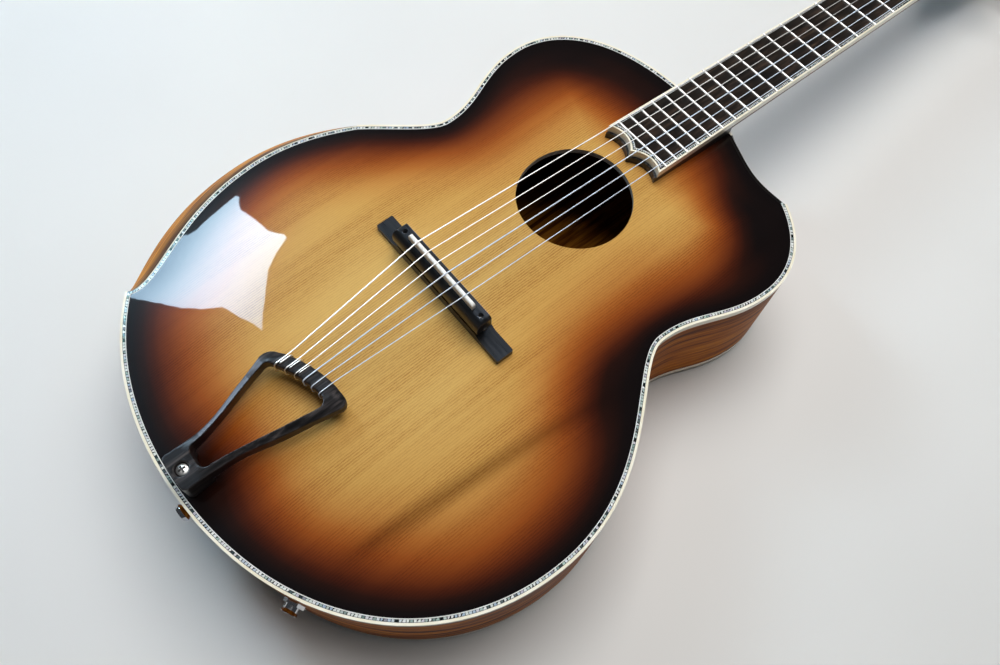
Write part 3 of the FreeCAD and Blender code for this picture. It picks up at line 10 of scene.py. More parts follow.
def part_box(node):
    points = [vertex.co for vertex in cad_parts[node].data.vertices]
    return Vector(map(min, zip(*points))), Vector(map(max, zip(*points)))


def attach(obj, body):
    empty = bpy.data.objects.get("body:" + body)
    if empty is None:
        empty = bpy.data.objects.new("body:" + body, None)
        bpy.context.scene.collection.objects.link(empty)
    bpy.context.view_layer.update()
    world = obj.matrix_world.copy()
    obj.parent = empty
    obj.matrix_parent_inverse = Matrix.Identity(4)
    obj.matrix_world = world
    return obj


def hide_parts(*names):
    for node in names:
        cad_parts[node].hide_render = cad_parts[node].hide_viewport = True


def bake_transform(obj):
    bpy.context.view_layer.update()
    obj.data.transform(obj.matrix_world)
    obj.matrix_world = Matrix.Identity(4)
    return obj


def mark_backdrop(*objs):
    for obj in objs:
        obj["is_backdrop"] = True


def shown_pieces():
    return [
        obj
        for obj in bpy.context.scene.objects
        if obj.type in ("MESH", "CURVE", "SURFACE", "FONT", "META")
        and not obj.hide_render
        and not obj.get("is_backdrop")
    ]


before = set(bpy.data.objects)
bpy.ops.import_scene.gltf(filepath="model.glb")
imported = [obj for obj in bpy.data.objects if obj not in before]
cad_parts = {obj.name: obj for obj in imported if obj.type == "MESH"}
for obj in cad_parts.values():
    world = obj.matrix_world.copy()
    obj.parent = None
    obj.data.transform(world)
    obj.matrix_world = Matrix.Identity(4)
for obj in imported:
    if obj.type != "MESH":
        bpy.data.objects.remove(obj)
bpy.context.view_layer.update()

# Sizes of the guitar in millimetres: x from the saddle to the head, y to the bass side, z up from the rim
MM = 0.001
TAIL_X = -234.4
# Corners of the outline: x and half the width there
LOWER_BOUT = (-56.4, 209.4)
WAIST = (106.8, 131.2)
UPPER_BOUT = (202.7, 155.4)
HEEL_SEAT = (287.8, 24.0)
# Lengths of each curve's two handles, as shares of its run
OUTLINE_HANDLES = ((0.592, 0.589), (0.537, 0.174), (0.372, 0.447), (0.509, 0.706))
BINDING_WIDE = 1.9
PURFLING_WIDE = 2.8
PURFLING_DEEP = 1.8
SHELL_WIDE = 1.7
LINE_WIDE = 0.6
# Bevels: start and end along the outline, skew, width and fall
ARMREST = (0.51, 1.48, 2.0, 20.0, 17.0)
CUTAWAY = (3.62, 3.975, 1.0, 10.0, 24.0)
BEVEL_EDGE = 1.0
BEVEL_BACKING = 5.0
TOP_THICK = 4.8
TOP_ARCH = 12.5
BRIDGE_RISE = 2.0
RISE_SPREAD = 110.0
TOP_SHOULDER = 100.0
SOUNDHOLE = (132.7, 46.9)
SCALE_LENGTH = 650.0
FRET_COUNT = 20
FRET_PLANE_Z = 43.3
NECK_PITCH = math.radians(5.2)
NECK_TURN = Matrix.Rotation(NECK_PITCH, 4, "Y")
FRET_TALL = 1.1
FRET_WIDE = 2.3
BOARD_END = (195.3, 29.4)
NUT_HALF = 24.8
BOARD_BINDING = 1.7
BOARD_SCALLOP = 4.6
BOARD_POINT = 3.6
BOARD_SHELL_WIDE = 1.25
BOARD_LINE_WIDE = 0.4
FRET_SHORT = 0.7
INLAY_PROUD = 0.02
BOARD_PAST = 10.0
# Points closer than this, in metres, are one point of a solid's mesh
WELD_REACH = 2e-6
# Points drawn along each curve of the outline, each bevel's cut and each finished edge
CURVE_STEPS = 150
CUT_STEPS = 160
FINE_EDGE = 2400
COARSE_EDGE = 720
# Points measured at a time, and the slack in trimming a moved outline
BATCH = 4000
TRIM_SLACK = 0.02

rim_low, rim_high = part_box("top_binding")
SHIFT = np.array([rim_low[0] / MM - TAIL_X, 0.0, rim_high[2] / MM])


def to_row(points):
    """Points of the building frame in the row frame, in metres."""
    return (np.asarray(points, float) + SHIFT) * MM


# Meshes
def placed(name, data):
    """A new object in the scene."""
    thing = bpy.data.objects.new(name, data)
    bpy.context.collection.objects.link(thing)
    return thing


def all_smooth(mesh):
    """Shades every face smoothly."""
    mesh.polygons.foreach_set("use_smooth", [True] * len(mesh.polygons))


def as_shown(thing):
    """A plain mesh of a piece as its modifiers leave it."""
    return bpy.data.meshes.new_from_object(thing.evaluated_get(bpy.context.evaluated_depsgraph_get()))


def piece(name, points, faces, material, uv=None, marks=None):
    """A mesh piece from points in the building frame, with its uv map and its own point values."""
    mesh = bpy.data.meshes.new(name)
    mesh.from_pydata([tuple(p) for p in to_row(points)], [], [tuple(int(i) for i in f) for f in faces])
    all_smooth(mesh)
    if uv is not None:
        layer = mesh.uv_layers.new(name="along")
        corners = np.zeros(len(mesh.loops), dtype=np.int64)
        mesh.loops.foreach_get("vertex_index", corners)
        layer.data.foreach_set("uv", np.asarray(uv, float)[corners].astype(np.float32).ravel())
    for label, values in (marks or {}).items():
        mark = mesh.attributes.new(label, "FLOAT", "POINT")
        mark.data.foreach_set("value", np.asarray(values, np.float32))
    mesh.materials.append(material)
    mesh.update()
    return placed(name, mesh)


def tidy_normals(thing):
    """Merges doubled points and turns every face outwards."""
    work = bmesh.new()
    work.from_mesh(thing.data)
    bmesh.ops.remove_doubles(work, verts=work.verts, dist=1e-6)
    bmesh.ops.recalc_face_normals(work, faces=work.faces)
    work.to_mesh(thing.data)
    work.free()
    return thing


def by_angle(thing, degrees):
    """Keeps edges sharper than an angle crisp."""
    thing.data.set_sharp_from_angle(angle=math.radians(degrees))
    return thing


def ring_faces(rows, columns, closed=True):
    """Quads between rows of points, each row a ring or a run of that many columns."""
    faces = []
    last = columns if closed else columns - 1
    for r in range(rows - 1):
        for c in range(last):
            d = (c + 1) % columns
            faces.append((r * columns + c, r * columns + d, (r + 1) * columns + d, (r + 1) * columns + c))
    return faces


# The outline of the body: four curves for each half, s from 0 at the tail to 4 at the heel seat
def outline_curves():
    corners = ((TAIL_X, 0.0), LOWER_BOUT, WAIST, UPPER_BOUT, HEEL_SEAT)
    curves = []
    for i, (first, last) in enumerate(OUTLINE_HANDLES):
        x0, y0 = corners[i]
        x1, y1 = corners[i + 1]
        lead = (x0, y0 + first * (y1 - y0)) if i == 0 else (x0 + first * (x1 - x0), y0)
        tail = (x1, y1 - last * (y1 - y0)) if i == 3 else (x1 - last * (x1 - x0), y1)
        curves.append(np.array([(x0, y0), lead, tail, (x1, y1)]))
    return curves


CURVES = outline_curves()


def rim_at(s, inset):
    """A point of the bass half outline, moved in from the edge."""
    i = min(int(s), 3)
    t = s - i
    a, b, c, d = CURVES[i]
    u = 1 - t
    point = u ** 3 * a + 3 * u * u * t * b + 3 * u * t * t * c + t ** 3 * d
    along = u * u * (b - a) + 2 * u * t * (c - b) + t * t * (d - c)
    along = along / np.hypot(*along)
    return point + inset * np.array([along[1], -along[0]])


def bevel_steps(bevel, count):
    """Places along a bevel with the share of its width there."""
    start, end, skew = bevel[:3]
    shares = np.linspace(0.0, 1.0, count + 1)
    return [(start + (end - start) * t ** skew, math.sin(math.pi * t)) for t in shares]


def half_edge(bevel, inset, side):
    """One half of the top's edge, its bevel cut in, from the tail to the heel seat."""
    width = bevel[3]
    points = [rim_at(s, inset) for s in np.linspace(0, bevel[0], int(bevel[0] * CURVE_STEPS) + 2)[:-1]]
    points += [rim_at(s, inset + width * share) for s, share in bevel_steps(bevel, CUT_STEPS)]
    beyond = int((4 - bevel[1]) * CURVE_STEPS) + 4
    points += [rim_at(s, inset) for s in np.linspace(bevel[1], 4.0, beyond)[1:]]
    return np.array(points) * (1, side)


def top_edge():
    """The closed edge of the top inside its binding, bass half first."""
    bass = half_edge(ARMREST, BINDING_WIDE, 1)
    treble = half_edge(CUTAWAY, BINDING_WIDE, -1)
    return np.vstack([bass, treble[::-1][:-1]])


def edge_distance(points, outline):
    """How far each point is from a closed outline."""
    nearest = np.full(len(points), 1e9)
    ends = np.roll(outline, -1, axis=0)
    for start in range(0, len(points), BATCH):
        part = points[start:start + BATCH, None, :]
        run = (ends - outline)[None]
        share = ((part - outline[None]) * run).sum(2) / np.maximum((run ** 2).sum(2), 1e-12)
        foot = outline[None] + np.clip(share, 0, 1)[..., None] * run
        nearest[start:start + BATCH] = np.sqrt(((part - foot) ** 2).sum(2)).min(1)
    return nearest


def is_inside(points, outline):
    inside = np.zeros(len(points), bool)
    ends = np.roll(outline, -1, axis=0)
    for (x0, y0), (x1, y1) in zip(outline, ends):
        if y0 == y1:
            continue
        crosses = (y0 > points[:, 1]) != (y1 > points[:, 1])
        inside ^= crosses & (points[:, 0] < x0 + (points[:, 1] - y0) * (x1 - x0) / (y1 - y0))
    return inside


def evenly(outline, count):
    """A closed outline drawn again with evenly spaced points."""
    closed = np.vstack([outline, outline[:1]])
    length = np.concatenate([[0], np.cumsum(np.hypot(*np.diff(closed, axis=0).T))])
    places = np.linspace(0, length[-1], count, endpoint=False)
    drawn = np.stack([np.interp(places, length, closed[:, k]) for k in (0, 1)], 1)
    return drawn, places


def moved_in(outline, width):
    """A closed outline moved inwards by an even margin, its crossed corners trimmed."""
    run = np.roll(outline, -1, axis=0) - np.roll(outline, 1, axis=0)
    run /= np.hypot(*run.T)[:, None]
    moved = outline + width * np.stack([run[:, 1], -run[:, 0]], 1)
    keep = edge_distance(moved, outline) > width - TRIM_SLACK
    return moved[keep]


EDGE = top_edge()
FIELD_EDGE = moved_in(EDGE, PURFLING_WIDE)


# The arch of the top, on the same grid as the solid
GRID = 12.0
SMOOTH_PASSES = 6
SMOOTH_FROM = 45.0
SMOOTH_SHARE = 0.7


def spline_weights(places, knots):
    """Weights that carry values at even knots to places between them along a natural cubic spline."""
    n = len(knots)
    step = knots[1] - knots[0]
    left = np.zeros((n, n))
    right = np.zeros((n, n))
    left[0, 0] = 1
    left[-1, -1] = 1
    for i in range(1, n - 1):
        left[i, i - 1:i + 2] = (1, 4, 1)
        right[i, i - 1:i + 2] = (6, -12, 6)
    bend = np.linalg.solve(left, right)
    cell = np.clip(((places - knots[0]) / step).astype(int), 0, n - 2)
    t = (places - knots[cell]) / step
    rows = np.arange(len(places))
    weights = np.zeros((len(places), n))
    weights[rows, cell] += 1 - t
    weights[rows, cell + 1] += t
    weights += (((1 - t) ** 3 - (1 - t)) / 6)[:, None] * bend[cell]
    weights += ((t ** 3 - t) / 6)[:, None] * bend[cell + 1]
    return weights


def arch_grid():
    across = LOWER_BOUT[1] + GRID
    length = HEEL_SEAT[0] - TAIL_X + 2 * GRID
    rows = int(length / GRID)
    columns = int(2 * across / GRID)
    xs = TAIL_X - GRID + length * np.arange(rows + 1) / rows
    ys = -across + 2 * across * np.arange(columns + 1) / columns
    places = np.stack(np.meshgrid(xs, ys, indexing="ij"), 2).reshape(-1, 2)
    outline = evenly(FIELD_EDGE, COARSE_EDGE)[0]
    distance = np.where(is_inside(places, outline), edge_distance(places, outline), 0.0)
    crown = TOP_ARCH + BRIDGE_RISE * np.exp(-(places ** 2).sum(1) / (2 * RISE_SPREAD ** 2))
    swell = 0.5 - 0.5 * np.cos(np.pi * np.minimum(1.0, distance / TOP_SHOULDER))
    heights = (crown * swell).reshape(rows + 1, columns + 1)
    share = SMOOTH_SHARE * np.minimum(1.0, distance.reshape(heights.shape) / SMOOTH_FROM) ** 2
    for _ in range(SMOOTH_PASSES):
        near = np.zeros_like(heights)
        lengthwise = heights[:-2, 1:-1] + heights[2:, 1:-1]
        near[1:-1, 1:-1] = (lengthwise + heights[1:-1, :-2] + heights[1:-1, 2:]) / 4
        inner = np.zeros_like(heights)
        inner[1:-1, 1:-1] = share[1:-1, 1:-1]
        heights = heights + inner * (near - heights)
    return xs, ys, heights


ARCH_X, ARCH_Y, ARCH_Z = arch_grid()


def arch(points):
    across = spline_weights(points[:, 0], ARCH_X) @ ARCH_Z
    return (across * spline_weights(points[:, 1], ARCH_Y)).sum(1)


# The neck's frame: u from the saddle along the board, v to the bass side, w up from the tops of the frets
NECK_PLACE = Matrix.Translation(Vector((SHIFT[0], 0.0, FRET_PLANE_Z + SHIFT[2])) * MM) @ NECK_TURN


def neck_to_row(points):
    """Points of the neck's frame in the row frame, in metres."""
    turned = np.asarray(points, float) @ np.array(NECK_TURN.to_3x3()).T
    return to_row(turned + (0.0, 0.0, FRET_PLANE_Z))


def arc_through(first, middle, last, count):
    """Points on the circle through three points, from the first to the last."""
    a, b, c = (np.array(p, float) for p in (first, middle, last))
    sums = np.array([b @ b - a @ a, c @ c - b @ b])
    centre = np.linalg.solve(2 * np.array([b - a, c - b]), sums)
    angles = np.unwrap([math.atan2(*(p - centre)[::-1]) for p in (a, b, c)])
    turns = np.linspace(angles[0], angles[2], count)
    return centre + np.hypot(*(a - centre)) * np.stack([np.cos(turns), np.sin(turns)], 1)


def board_half(u):
    """Half the board's width, tapering evenly from its end to the nut."""
    return BOARD_END[1] + (NUT_HALF - BOARD_END[1]) * (u - BOARD_END[0]) / (SCALE_LENGTH - BOARD_END[0])


def board_outline():
    """The board's plan, run on past the nut, with two scallops in its end."""
    end, half = BOARD_END
    past = SCALE_LENGTH + BOARD_PAST
    hollow = (end + BOARD_SCALLOP, half / 2)
    point = (end - BOARD_POINT, 0.0)
    bass = arc_through(point, hollow, (end, half), 60)
    treble = (bass * (1, -1))[::-1]
    corners = np.array([(past, board_half(past)), (past, -board_half(past))])
    return evenly(np.vstack([bass, corners, treble[:-1]]), FINE_EDGE)[0]


def opened(loop, keep):
    """A closed path as an open one, with the stretch that isn't kept taken out of it."""
    first = np.flatnonzero(keep & ~np.roll(keep, 1))
    start = first[0] if len(first) else 0
    return np.roll(loop, -start, axis=0)[np.roll(keep, -start)]


# Materials
def hex_linear(code):
    """An sRGB hex colour as linear red, green, blue and alpha."""
    parts = [int(code[i:i + 2], 16) / 255 for i in (0, 2, 4)]
    return tuple(c / 12.92 if c <= 0.04045 else ((c + 0.055) / 1.055) ** 2.4 for c in parts) + (1.0,)


def add(tree, kind, links=None, out=0, stops=(), **settings):
    """Adds a node with its settings, its inputs linked or set and its ramp's stops, and gives an output."""
    node = tree.nodes.new(kind)
    for key, value in settings.items():
        setattr(node, key, value)
    for key, value in (links or {}).items():
        if isinstance(value, bpy.types.NodeSocket):
            tree.links.new(value, node.inputs[key])
        else:
            node.inputs[key].default_value = value
    for place, _ in stops[2:]:
        node.color_ramp.elements.new(place)
    for i, (place, code) in enumerate(stops):
        node.color_ramp.elements[i].position = place
        node.color_ramp.elements[i].color = hex_linear(code)
    return node.outputs[out] if len(node.outputs) else node


def begin(name, **constants):
    """A new material and its node tree, constant values set on the shader's own sockets."""
    material = bpy.data.materials.new(name)
    material.use_nodes = True
    shader = material.node_tree.nodes["Principled BSDF"]
    for key, value in constants.items():
        shader.inputs[key.replace("_", " ")].default_value = value
    return material, material.node_tree


def paint(material, **values):
    """Links values to the sockets of a material's shader."""
    tree = material.node_tree
    for key, value in values.items():
        tree.links.new(value, tree.nodes["Principled BSDF"].inputs[key.replace("_", " ")])
    return material


def own_place(tree):
    """Coordinates in metres that stay with the piece."""
    return add(tree, "ShaderNodeTexCoord", out="Object")


def mark_of(tree, name):
    """A value that the mesh keeps at its points."""
    return add(tree, "ShaderNodeAttribute", out="Fac", attribute_name=name)


def stretched(tree, place, scale):
    """Coordinates stretched along each axis."""
    return add(tree, "ShaderNodeMapping", {"Vector": place, "Scale": scale})


def noise(tree, place, scale=1.0, **inputs):
    """Cloudy values between 0 and 1."""
    return add(tree, "ShaderNodeTexNoise", {"Vector": place, "Scale": scale, **inputs})


def ramp(tree, value, *stops):
    """Colours picked by a value."""
    return add(tree, "ShaderNodeValToRGB", {"Fac": value}, stops=stops)


def spread(tree, value, low, high, given=(0.0, 1.0)):
    """A value carried from its given range to another."""
    return add(tree, "ShaderNodeMapRange", {"Value": value, "From Min": given[0], "From Max": given[1],
                                            "To Min": low, "To Max": high})


def mixed(tree, share, first, second, kind="MULTIPLY"):
    """A share of the second colour over the first."""
    return add(tree, "ShaderNodeMix", {0: share, 6: first, 7: second}, 2, data_type="RGBA", blend_type=kind)


# Burst colours by the share of this reach from the edge
BURST_REACH = 150.0
BURST = ((0.0, "070404"), (0.06, "0F0605"), (0.11, "260E06"), (0.16, "481B08"), (0.23, "713310"),
         (0.31, "934A18"), (0.40, "AD672A"), (0.51, "C18843"), (0.64, "CB9C52"), (0.95, "D2A960"))
# Growth rings of cedar lie about a millimetre apart, and are drawn a little wider so that they show
RING_MM = 1.9
FLITCH_MM = 16.0
# A wave texture of scale 1 repeats after this length
WAVE_MM = 314.16


def sunburst_cedar():
    # Cedar under thick polished lacquer, sprayed from honey to near black: deep colour, straight grain
    # and sharp glints
    material, tree = begin("lacquered sunburst cedar", Roughness=0.45, Specular_IOR_Level=0.2,
                                   Coat_Weight=1.0, Coat_Roughness=0.03, Coat_IOR=1.5)
    place = own_place(tree)
    burst = ramp(tree, mark_of(tree, "burst"), *BURST)
    along = stretched(tree, place, (0.02, 1.0, 0.02))
    rings = add(tree, "ShaderNodeTexWave", {"Vector": along, "Scale": WAVE_MM / RING_MM, "Distortion": 5.0,
                                            "Detail": 2.0, "Detail Scale": 1 / (FLITCH_MM * MM)},
                out="Fac", bands_direction="Y")
    lines = ramp(tree, rings, (0.0, "9C6A3A"), (0.6, "FFFFFF"))
    wide = stretched(tree, place, (2.5, 1 / (FLITCH_MM * MM), 3))
    flitch = noise(tree, wide, Detail=3.0, Roughness=0.65)
    depth = spread(tree, flitch, 0.18, 0.64, (0.62, 0.36))
    colour = mixed(tree, depth, burst, lines)
    tone = ramp(tree, flitch, (0.34, "DCC6A6"), (0.62, "FFFFFF"))
    colour = mixed(tree, 0.22, colour, tone)
    colour = mixed(tree, mark_of(tree, "streak"), colour, hex_linear("A08C5C"))
    return paint(material, Base_Color=colour)


def figured_wood(name, stops, cycles, gloss, coat):
    # Plain or lacquered wood: dark growth lines that wander along the piece, with fine pores between them
    material, tree = begin(name, Roughness=gloss, Specular_IOR_Level=0.05, Coat_Weight=coat,
                                   Coat_Roughness=0.06)
    place = own_place(tree)
    rings = noise(tree, stretched(tree, place, cycles), Detail=4.0, Roughness=0.6, Distortion=0.5)
    pores = noise(tree, stretched(tree, place, tuple(11 * c for c in cycles)), Detail=1.0)
    flecks = ramp(tree, pores, (0.36, "5A4030"), (0.54, "FFFFFF"))
    colour = mixed(tree, 0.3, ramp(tree, rings, *stops), flecks)
    return paint(material, Base_Color=colour)


def stained_slope():
    # Lacquered walnut armrest: amber with dark lines along the rim, stained nearly black beside the binding
    material, tree = begin("lacquered walnut armrest", Roughness=0.4, Specular_IOR_Level=0.08,
                                   Coat_Weight=0.06, Coat_Roughness=0.05)
    along = add(tree, "ShaderNodeUVMap", uv_map="along")
    # Lines about 2 mm apart across the slope, each tens of millimetres long
    rings = noise(tree, stretched(tree, along, (0.015, 0.45, 1.0)), Detail=3.0, Roughness=0.6)
    colour = ramp(tree, rings, (0.32, "2A1204"), (0.42, "9A5510"), (0.56, "D58A24"), (0.75, "AE6814"))
    colour = mixed(tree, mark_of(tree, "stain"), colour, hex_linear("1C0B05"), "MIX")
    return paint(material, Base_Color=colour)


def streaked_ebony(name, gloss, coat, stops, cycles=(12, 420, 420)):
    # Ebony rubbed to a satin: nearly black, with soft slate or brown streaks along the grain and open pores
    material, tree = begin(name, Coat_Weight=coat, Coat_Roughness=0.12)
    place = own_place(tree)
    streaks = noise(tree, stretched(tree, place, cycles), Detail=3.0, Roughness=0.6)
    pores = noise(tree, stretched(tree, place, tuple(4 * c for c in cycles)), Detail=2.0)
    rub = spread(tree, pores, gloss - 0.08, gloss + 0.1)
    bump = add(tree, "ShaderNodeBump", {"Height": pores, "Strength": 0.12, "Distance": 0.0001})
    return paint(material, Base_Color=ramp(tree, streaks, *stops), Roughness=rub, Normal=bump)


def even_tone(name, dark, light, roughness, drift_mm, coat=0.0, metallic=0.0):
    # Cast, drawn or moulded stuff: one tone with a slight drift, and a gloss that drifts with it
    material, tree = begin(name, Metallic=metallic, Coat_Weight=coat, Coat_Roughness=0.04)
    drift = noise(tree, own_place(tree), 1 / (drift_mm * MM), Detail=2.0)
    colour = ramp(tree, drift, (0.3, dark), (0.7, light))
    gloss = spread(tree, drift, 0.85 * roughness, 1.15 * roughness)
    return paint(material, Base_Color=colour, Roughness=gloss)


CHIP_TONES = ((0.0, "1A1E20"), (0.09, "39464A"), (0.16, "93A9A2"), (0.32, "D6DCD6"), (0.5, "F4F4EE"),
              (0.64, "9DB2C8"), (0.74, "F5F4EE"), (0.86, "C6C0CC"), (0.94, "56646A"), (1.0, "B6CBBE"))
# The swirl in a chip turns about every half millimetre
SWIRL_MM = 0.5


def abalone():
    # Abalone ground flat under lacquer: pale, dark, green and blue chips, each with a fine swirl and a flash
    material, tree = begin("abalone under lacquer", Roughness=0.2, Coat_Weight=0.8,
                                   Coat_Roughness=0.03, Thin_Film_Thickness=430.0, Thin_Film_IOR=1.6)
    tone = ramp(tree, mark_of(tree, "chip"), *CHIP_TONES)
    swirl = noise(tree, own_place(tree), 1 / (SWIRL_MM * MM), Detail=2.0, Distortion=1.5)
    cloud = ramp(tree, swirl, (0.3, "6F7A7C"), (0.6, "FFFFFF"))
    return paint(material, Base_Color=mixed(tree, 0.25, tone, cloud))


# A turn of the winding takes about a fifth of a millimetre
TURN_MM = 0.2


def silvered_winding():
    # Silvered wire wound on a floss core: a bright soft metal with fine ridges across the string
    material, tree = begin("silvered winding", Metallic=1.0)
    turns = add(tree, "ShaderNodeTexWave", {"Vector": own_place(tree), "Scale": WAVE_MM / TURN_MM},
                out="Fac", bands_direction="X")
    colour = ramp(tree, turns, (0.0, "EDEBE6"), (0.6, "FBFAF8"))
    return paint(material, Base_Color=colour, Roughness=spread(tree, turns, 0.4, 0.36))


SIDE_LINES = ((0.3, "341704"), (0.42, "703608"), (0.52, "AA5D0C"), (0.64, "C67816"), (0.8, "884608"))
BACK_LINES = ((0.3, "1E0D04"), (0.44, "5E320E"), (0.56, "99601E"), (0.75, "6F3E12"))
NECK_LINES = ((0.3, "3B1A0C"), (0.5, "5A2B14"), (0.7, "6E3A1C"))
INNER_LINES = ((0.3, "7A5A34"), (0.5, "A88454"), (0.7, "BC9A68"))
HOLE_LINES = ((0.3, "9A9086"), (0.5, "B5ADA2"), (0.7, "C4BDB2"))
SLATE_STREAKS = ((0.30, "121111"), (0.48, "232121"), (0.60, "3A3636"), (0.74, "544D49"))
BROWN_STREAKS = ((0.30, "100D0B"), (0.50, "1E1814"), (0.64, "3A2D24"), (0.78, "544132"))
BLACK_STREAKS = ((0.30, "0B0B0C"), (0.50, "141415"), (0.64, "201F1F"), (0.78, "2E2B2A"))
CEDAR = sunburst_cedar()
SIDE_WOOD = figured_wood("lacquered walnut sides", SIDE_LINES, (6, 6, 110), 0.45, 0.0)
BACK_WOOD = figured_wood("lacquered walnut back", BACK_LINES, (5, 90, 5), 0.35, 0.6)
SLOPE_WOOD = stained_slope()
NECK_WOOD = figured_wood("satin mahogany neck", NECK_LINES, (6, 70, 70), 0.42, 0.2)
INNER_WOOD = figured_wood("bare spruce inside", INNER_LINES, (6, 300, 300), 0.65, 0.0)
HOLE_EDGE = figured_wood("bare edge of the soundhole", HOLE_LINES, (200, 200, 900), 0.5, 0.3)
EBONY = streaked_ebony("oiled slate ebony", 0.34, 0.0, SLATE_STREAKS)
BRIDGE_EBONY = streaked_ebony("oiled black ebony", 0.3, 0.0, BLACK_STREAKS, (420, 12, 420))
BOARD_EBONY = streaked_ebony("fingerboard ebony", 0.42, 0.0, BROWN_STREAKS)
HEAD_EBONY = streaked_ebony("lacquered ebony head veneer", 0.28, 0.8, BROWN_STREAKS)
CREAM = even_tone("cream binding", "EDE3C8", "F8F1DF", 0.25, 20.0, 0.6)
WHITE_LINE = even_tone("white purfling line", "E6E4DC", "F6F4EE", 0.3, 4.0, 0.8)
DARK_LINE = even_tone("black purfling bed", "080606", "120D0B", 0.3, 4.0, 0.8)
SHELL = abalone()
BONE = even_tone("polished bone", "F3F0E8", "FBF9F4", 0.28, 5.0, 0.2)
NICKEL = even_tone("nickel silver fret wire", "DDDBD6", "EFEDE8", 0.4, 3.0, 0.0, 1.0)
CHROME = even_tone("polished chrome", "C6C8CC", "DCDEE2", 0.1, 12.0, 0.0, 1.0)
STEEL = even_tone("bright steel screw", "B8B8B8", "D2D2D2", 0.24, 3.0, 0.0, 1.0)
PLATED = even_tone("nickel plated screw", "D6D4D0", "E8E6E2", 0.34, 3.0, 0.0, 1.0)
# Painted shade: the screw's cross recess is coloured near black for the shade inside it
PAINTED_RECESS_SHADE = even_tone("painted shade in a screw's recess", "14130F", "262420", 0.6, 1.0)
WINDING = silvered_winding()
NYLON = even_tone("clear nylon", "C9D6E6", "E4EDF7", 0.2, 8.0, 0.4)
BLACK_PLASTIC = even_tone("black moulded plastic", "0C0C0C", "1A1A1A", 0.5, 3.0)
PAPER = even_tone("pale paper floor", "DEDCD8", "E4E2DE", 0.85, 400.0)


# The carved top: rings from the purfling in to the soundhole, its wall and its underside
TOP_COLUMNS = 900
TOP_RINGS = 84
UNDER_RINGS = 12
# Above 1, the rings crowd towards the soundhole
RING_CROWDING = 1.15
STREAK = ((-150.0, -116.0), (25.0, -136.5))
STREAK_HALF = 10.0
STREAK_FADE = 35.0
STREAK_DEPTH = 0.7
BURST_EDGE = 700
# Touches of the spray: where on the top, how many millimetres later or sooner the burst clears,
# and how widely. The touch at (-196, -8) is no spray but painted shade: it darkens the top inside
# the tailpiece's opening, where the tailpiece's shadow falls
SPRAYS_AND_PAINTED_SHADE = ((215.0, 100.0, -24.0, 32.0), (222.0, -100.0, -28.0, 30.0), (225.0, 30.0, -24.0, 35.0),
          (35.0, -128.0, -15.0, 30.0), (-40.0, 140.0, 15.0, 35.0), (60.0, 80.0, 15.0, 40.0),
          (100.0, -75.0, 15.0, 40.0), (175.0, -72.0, 18.0, 24.0), (-196.0, -8.0, -16.0, 24.0),
          (72.0, -122.0, -9.0, 24.0), (-147.0, -65.0, 15.0, 28.0), (-100.0, -155.0, 8.0, 40.0))
SPRAY_FROM = 30.0


def burst_shares(flat):
    """How far into the burst each point of the top lies, moved in or out by spray touches and painted shade.
    """
    depth = edge_distance(flat, evenly(EDGE, BURST_EDGE)[0]) + BINDING_WIDE
    shift = np.zeros(len(flat))
    for x, y, amount, spread in SPRAYS_AND_PAINTED_SHADE:
        shift += amount * np.exp(-((flat[:, 0] - x) ** 2 + (flat[:, 1] - y) ** 2) / (2 * spread ** 2))
    return (depth + shift * np.clip(depth / SPRAY_FROM, 0, 1)) / BURST_REACH


def streak_shares(flat):
    """A single olive streak in the wood on the treble side, soft at its edges and its ends."""
    first, last = (np.array(p) for p in STREAK)
    run = (last - first) / np.hypot(*(last - first))
    along = (flat - first) @ run
    off = np.abs((flat - first) @ np.array([-run[1], run[0]]))
    beyond = np.maximum(np.maximum(-along, along - np.hypot(*(last - first))), 0)
    return STREAK_DEPTH * np.clip(1 - off / STREAK_HALF, 0, 1) * np.clip(1 - beyond / STREAK_FADE, 0, 1)


def carved_top():
    outline = evenly(FIELD_EDGE, TOP_COLUMNS)[0]
    centre = np.array([SOUNDHOLE[0], 0.0])
    away = outline - centre
    hole = centre + away / np.hypot(*away.T)[:, None] * SOUNDHOLE[1]
    shares = 1 - (1 - np.arange(TOP_RINGS + 1) / TOP_RINGS) ** RING_CROWDING
    upper = np.vstack([outline + (hole - outline) * share for share in shares])
    under = np.vstack([hole + (outline - hole) * k / UNDER_RINGS for k in range(UNDER_RINGS + 1)])
    flat = np.vstack([upper, under])
    z = arch(flat)
    z[:TOP_COLUMNS] = 0.0
    z[len(upper):] -= TOP_THICK
    rows = len(flat) // TOP_COLUMNS
    faces = [tuple(i % len(flat) for i in face) for face in ring_faces(rows + 1, TOP_COLUMNS)]
    marks = {"burst": burst_shares(flat), "streak": streak_shares(flat)}
    top = piece("carved_top", np.column_stack([flat, z]), faces, CEDAR, marks=marks)
    top.data.materials.append(HOLE_EDGE)
    for face in range(TOP_RINGS * TOP_COLUMNS, (TOP_RINGS + 1) * TOP_COLUMNS):
        top.data.polygons[face].material_index = 1
    settle(by_angle(tidy_normals(top), 40), "sunburst_top", "top_plate")


def settle(thing, slot, *nodes):
    """Gives a finished piece its ride and hides the nodes that it stands for; slot is not used."""
    if nodes:
        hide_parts(*nodes)
    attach(thing, "guitar")


BED_COLUMNS = 1400


def purfling_bed():
    """The dark bed let into the top's edge, in which the shell and the white line lie."""
    count = BED_COLUMNS
    first = evenly(EDGE, count)[0]
    second = evenly(FIELD_EDGE, count)[0]
    corners = ((first, 0.0), (second, 0.0), (second, -PURFLING_DEEP), (first, -PURFLING_DEEP))
    points = np.vstack([np.column_stack([edge, np.full(count, z)]) for edge, z in corners])
    faces = [tuple(i % len(points) for i in face) for face in ring_faces(5, count)]
    bed = by_angle(tidy_normals(piece("purfling_bed", points, faces, DARK_LINE)), 35)
    settle(bed, "black_plastic", "top_purfling")


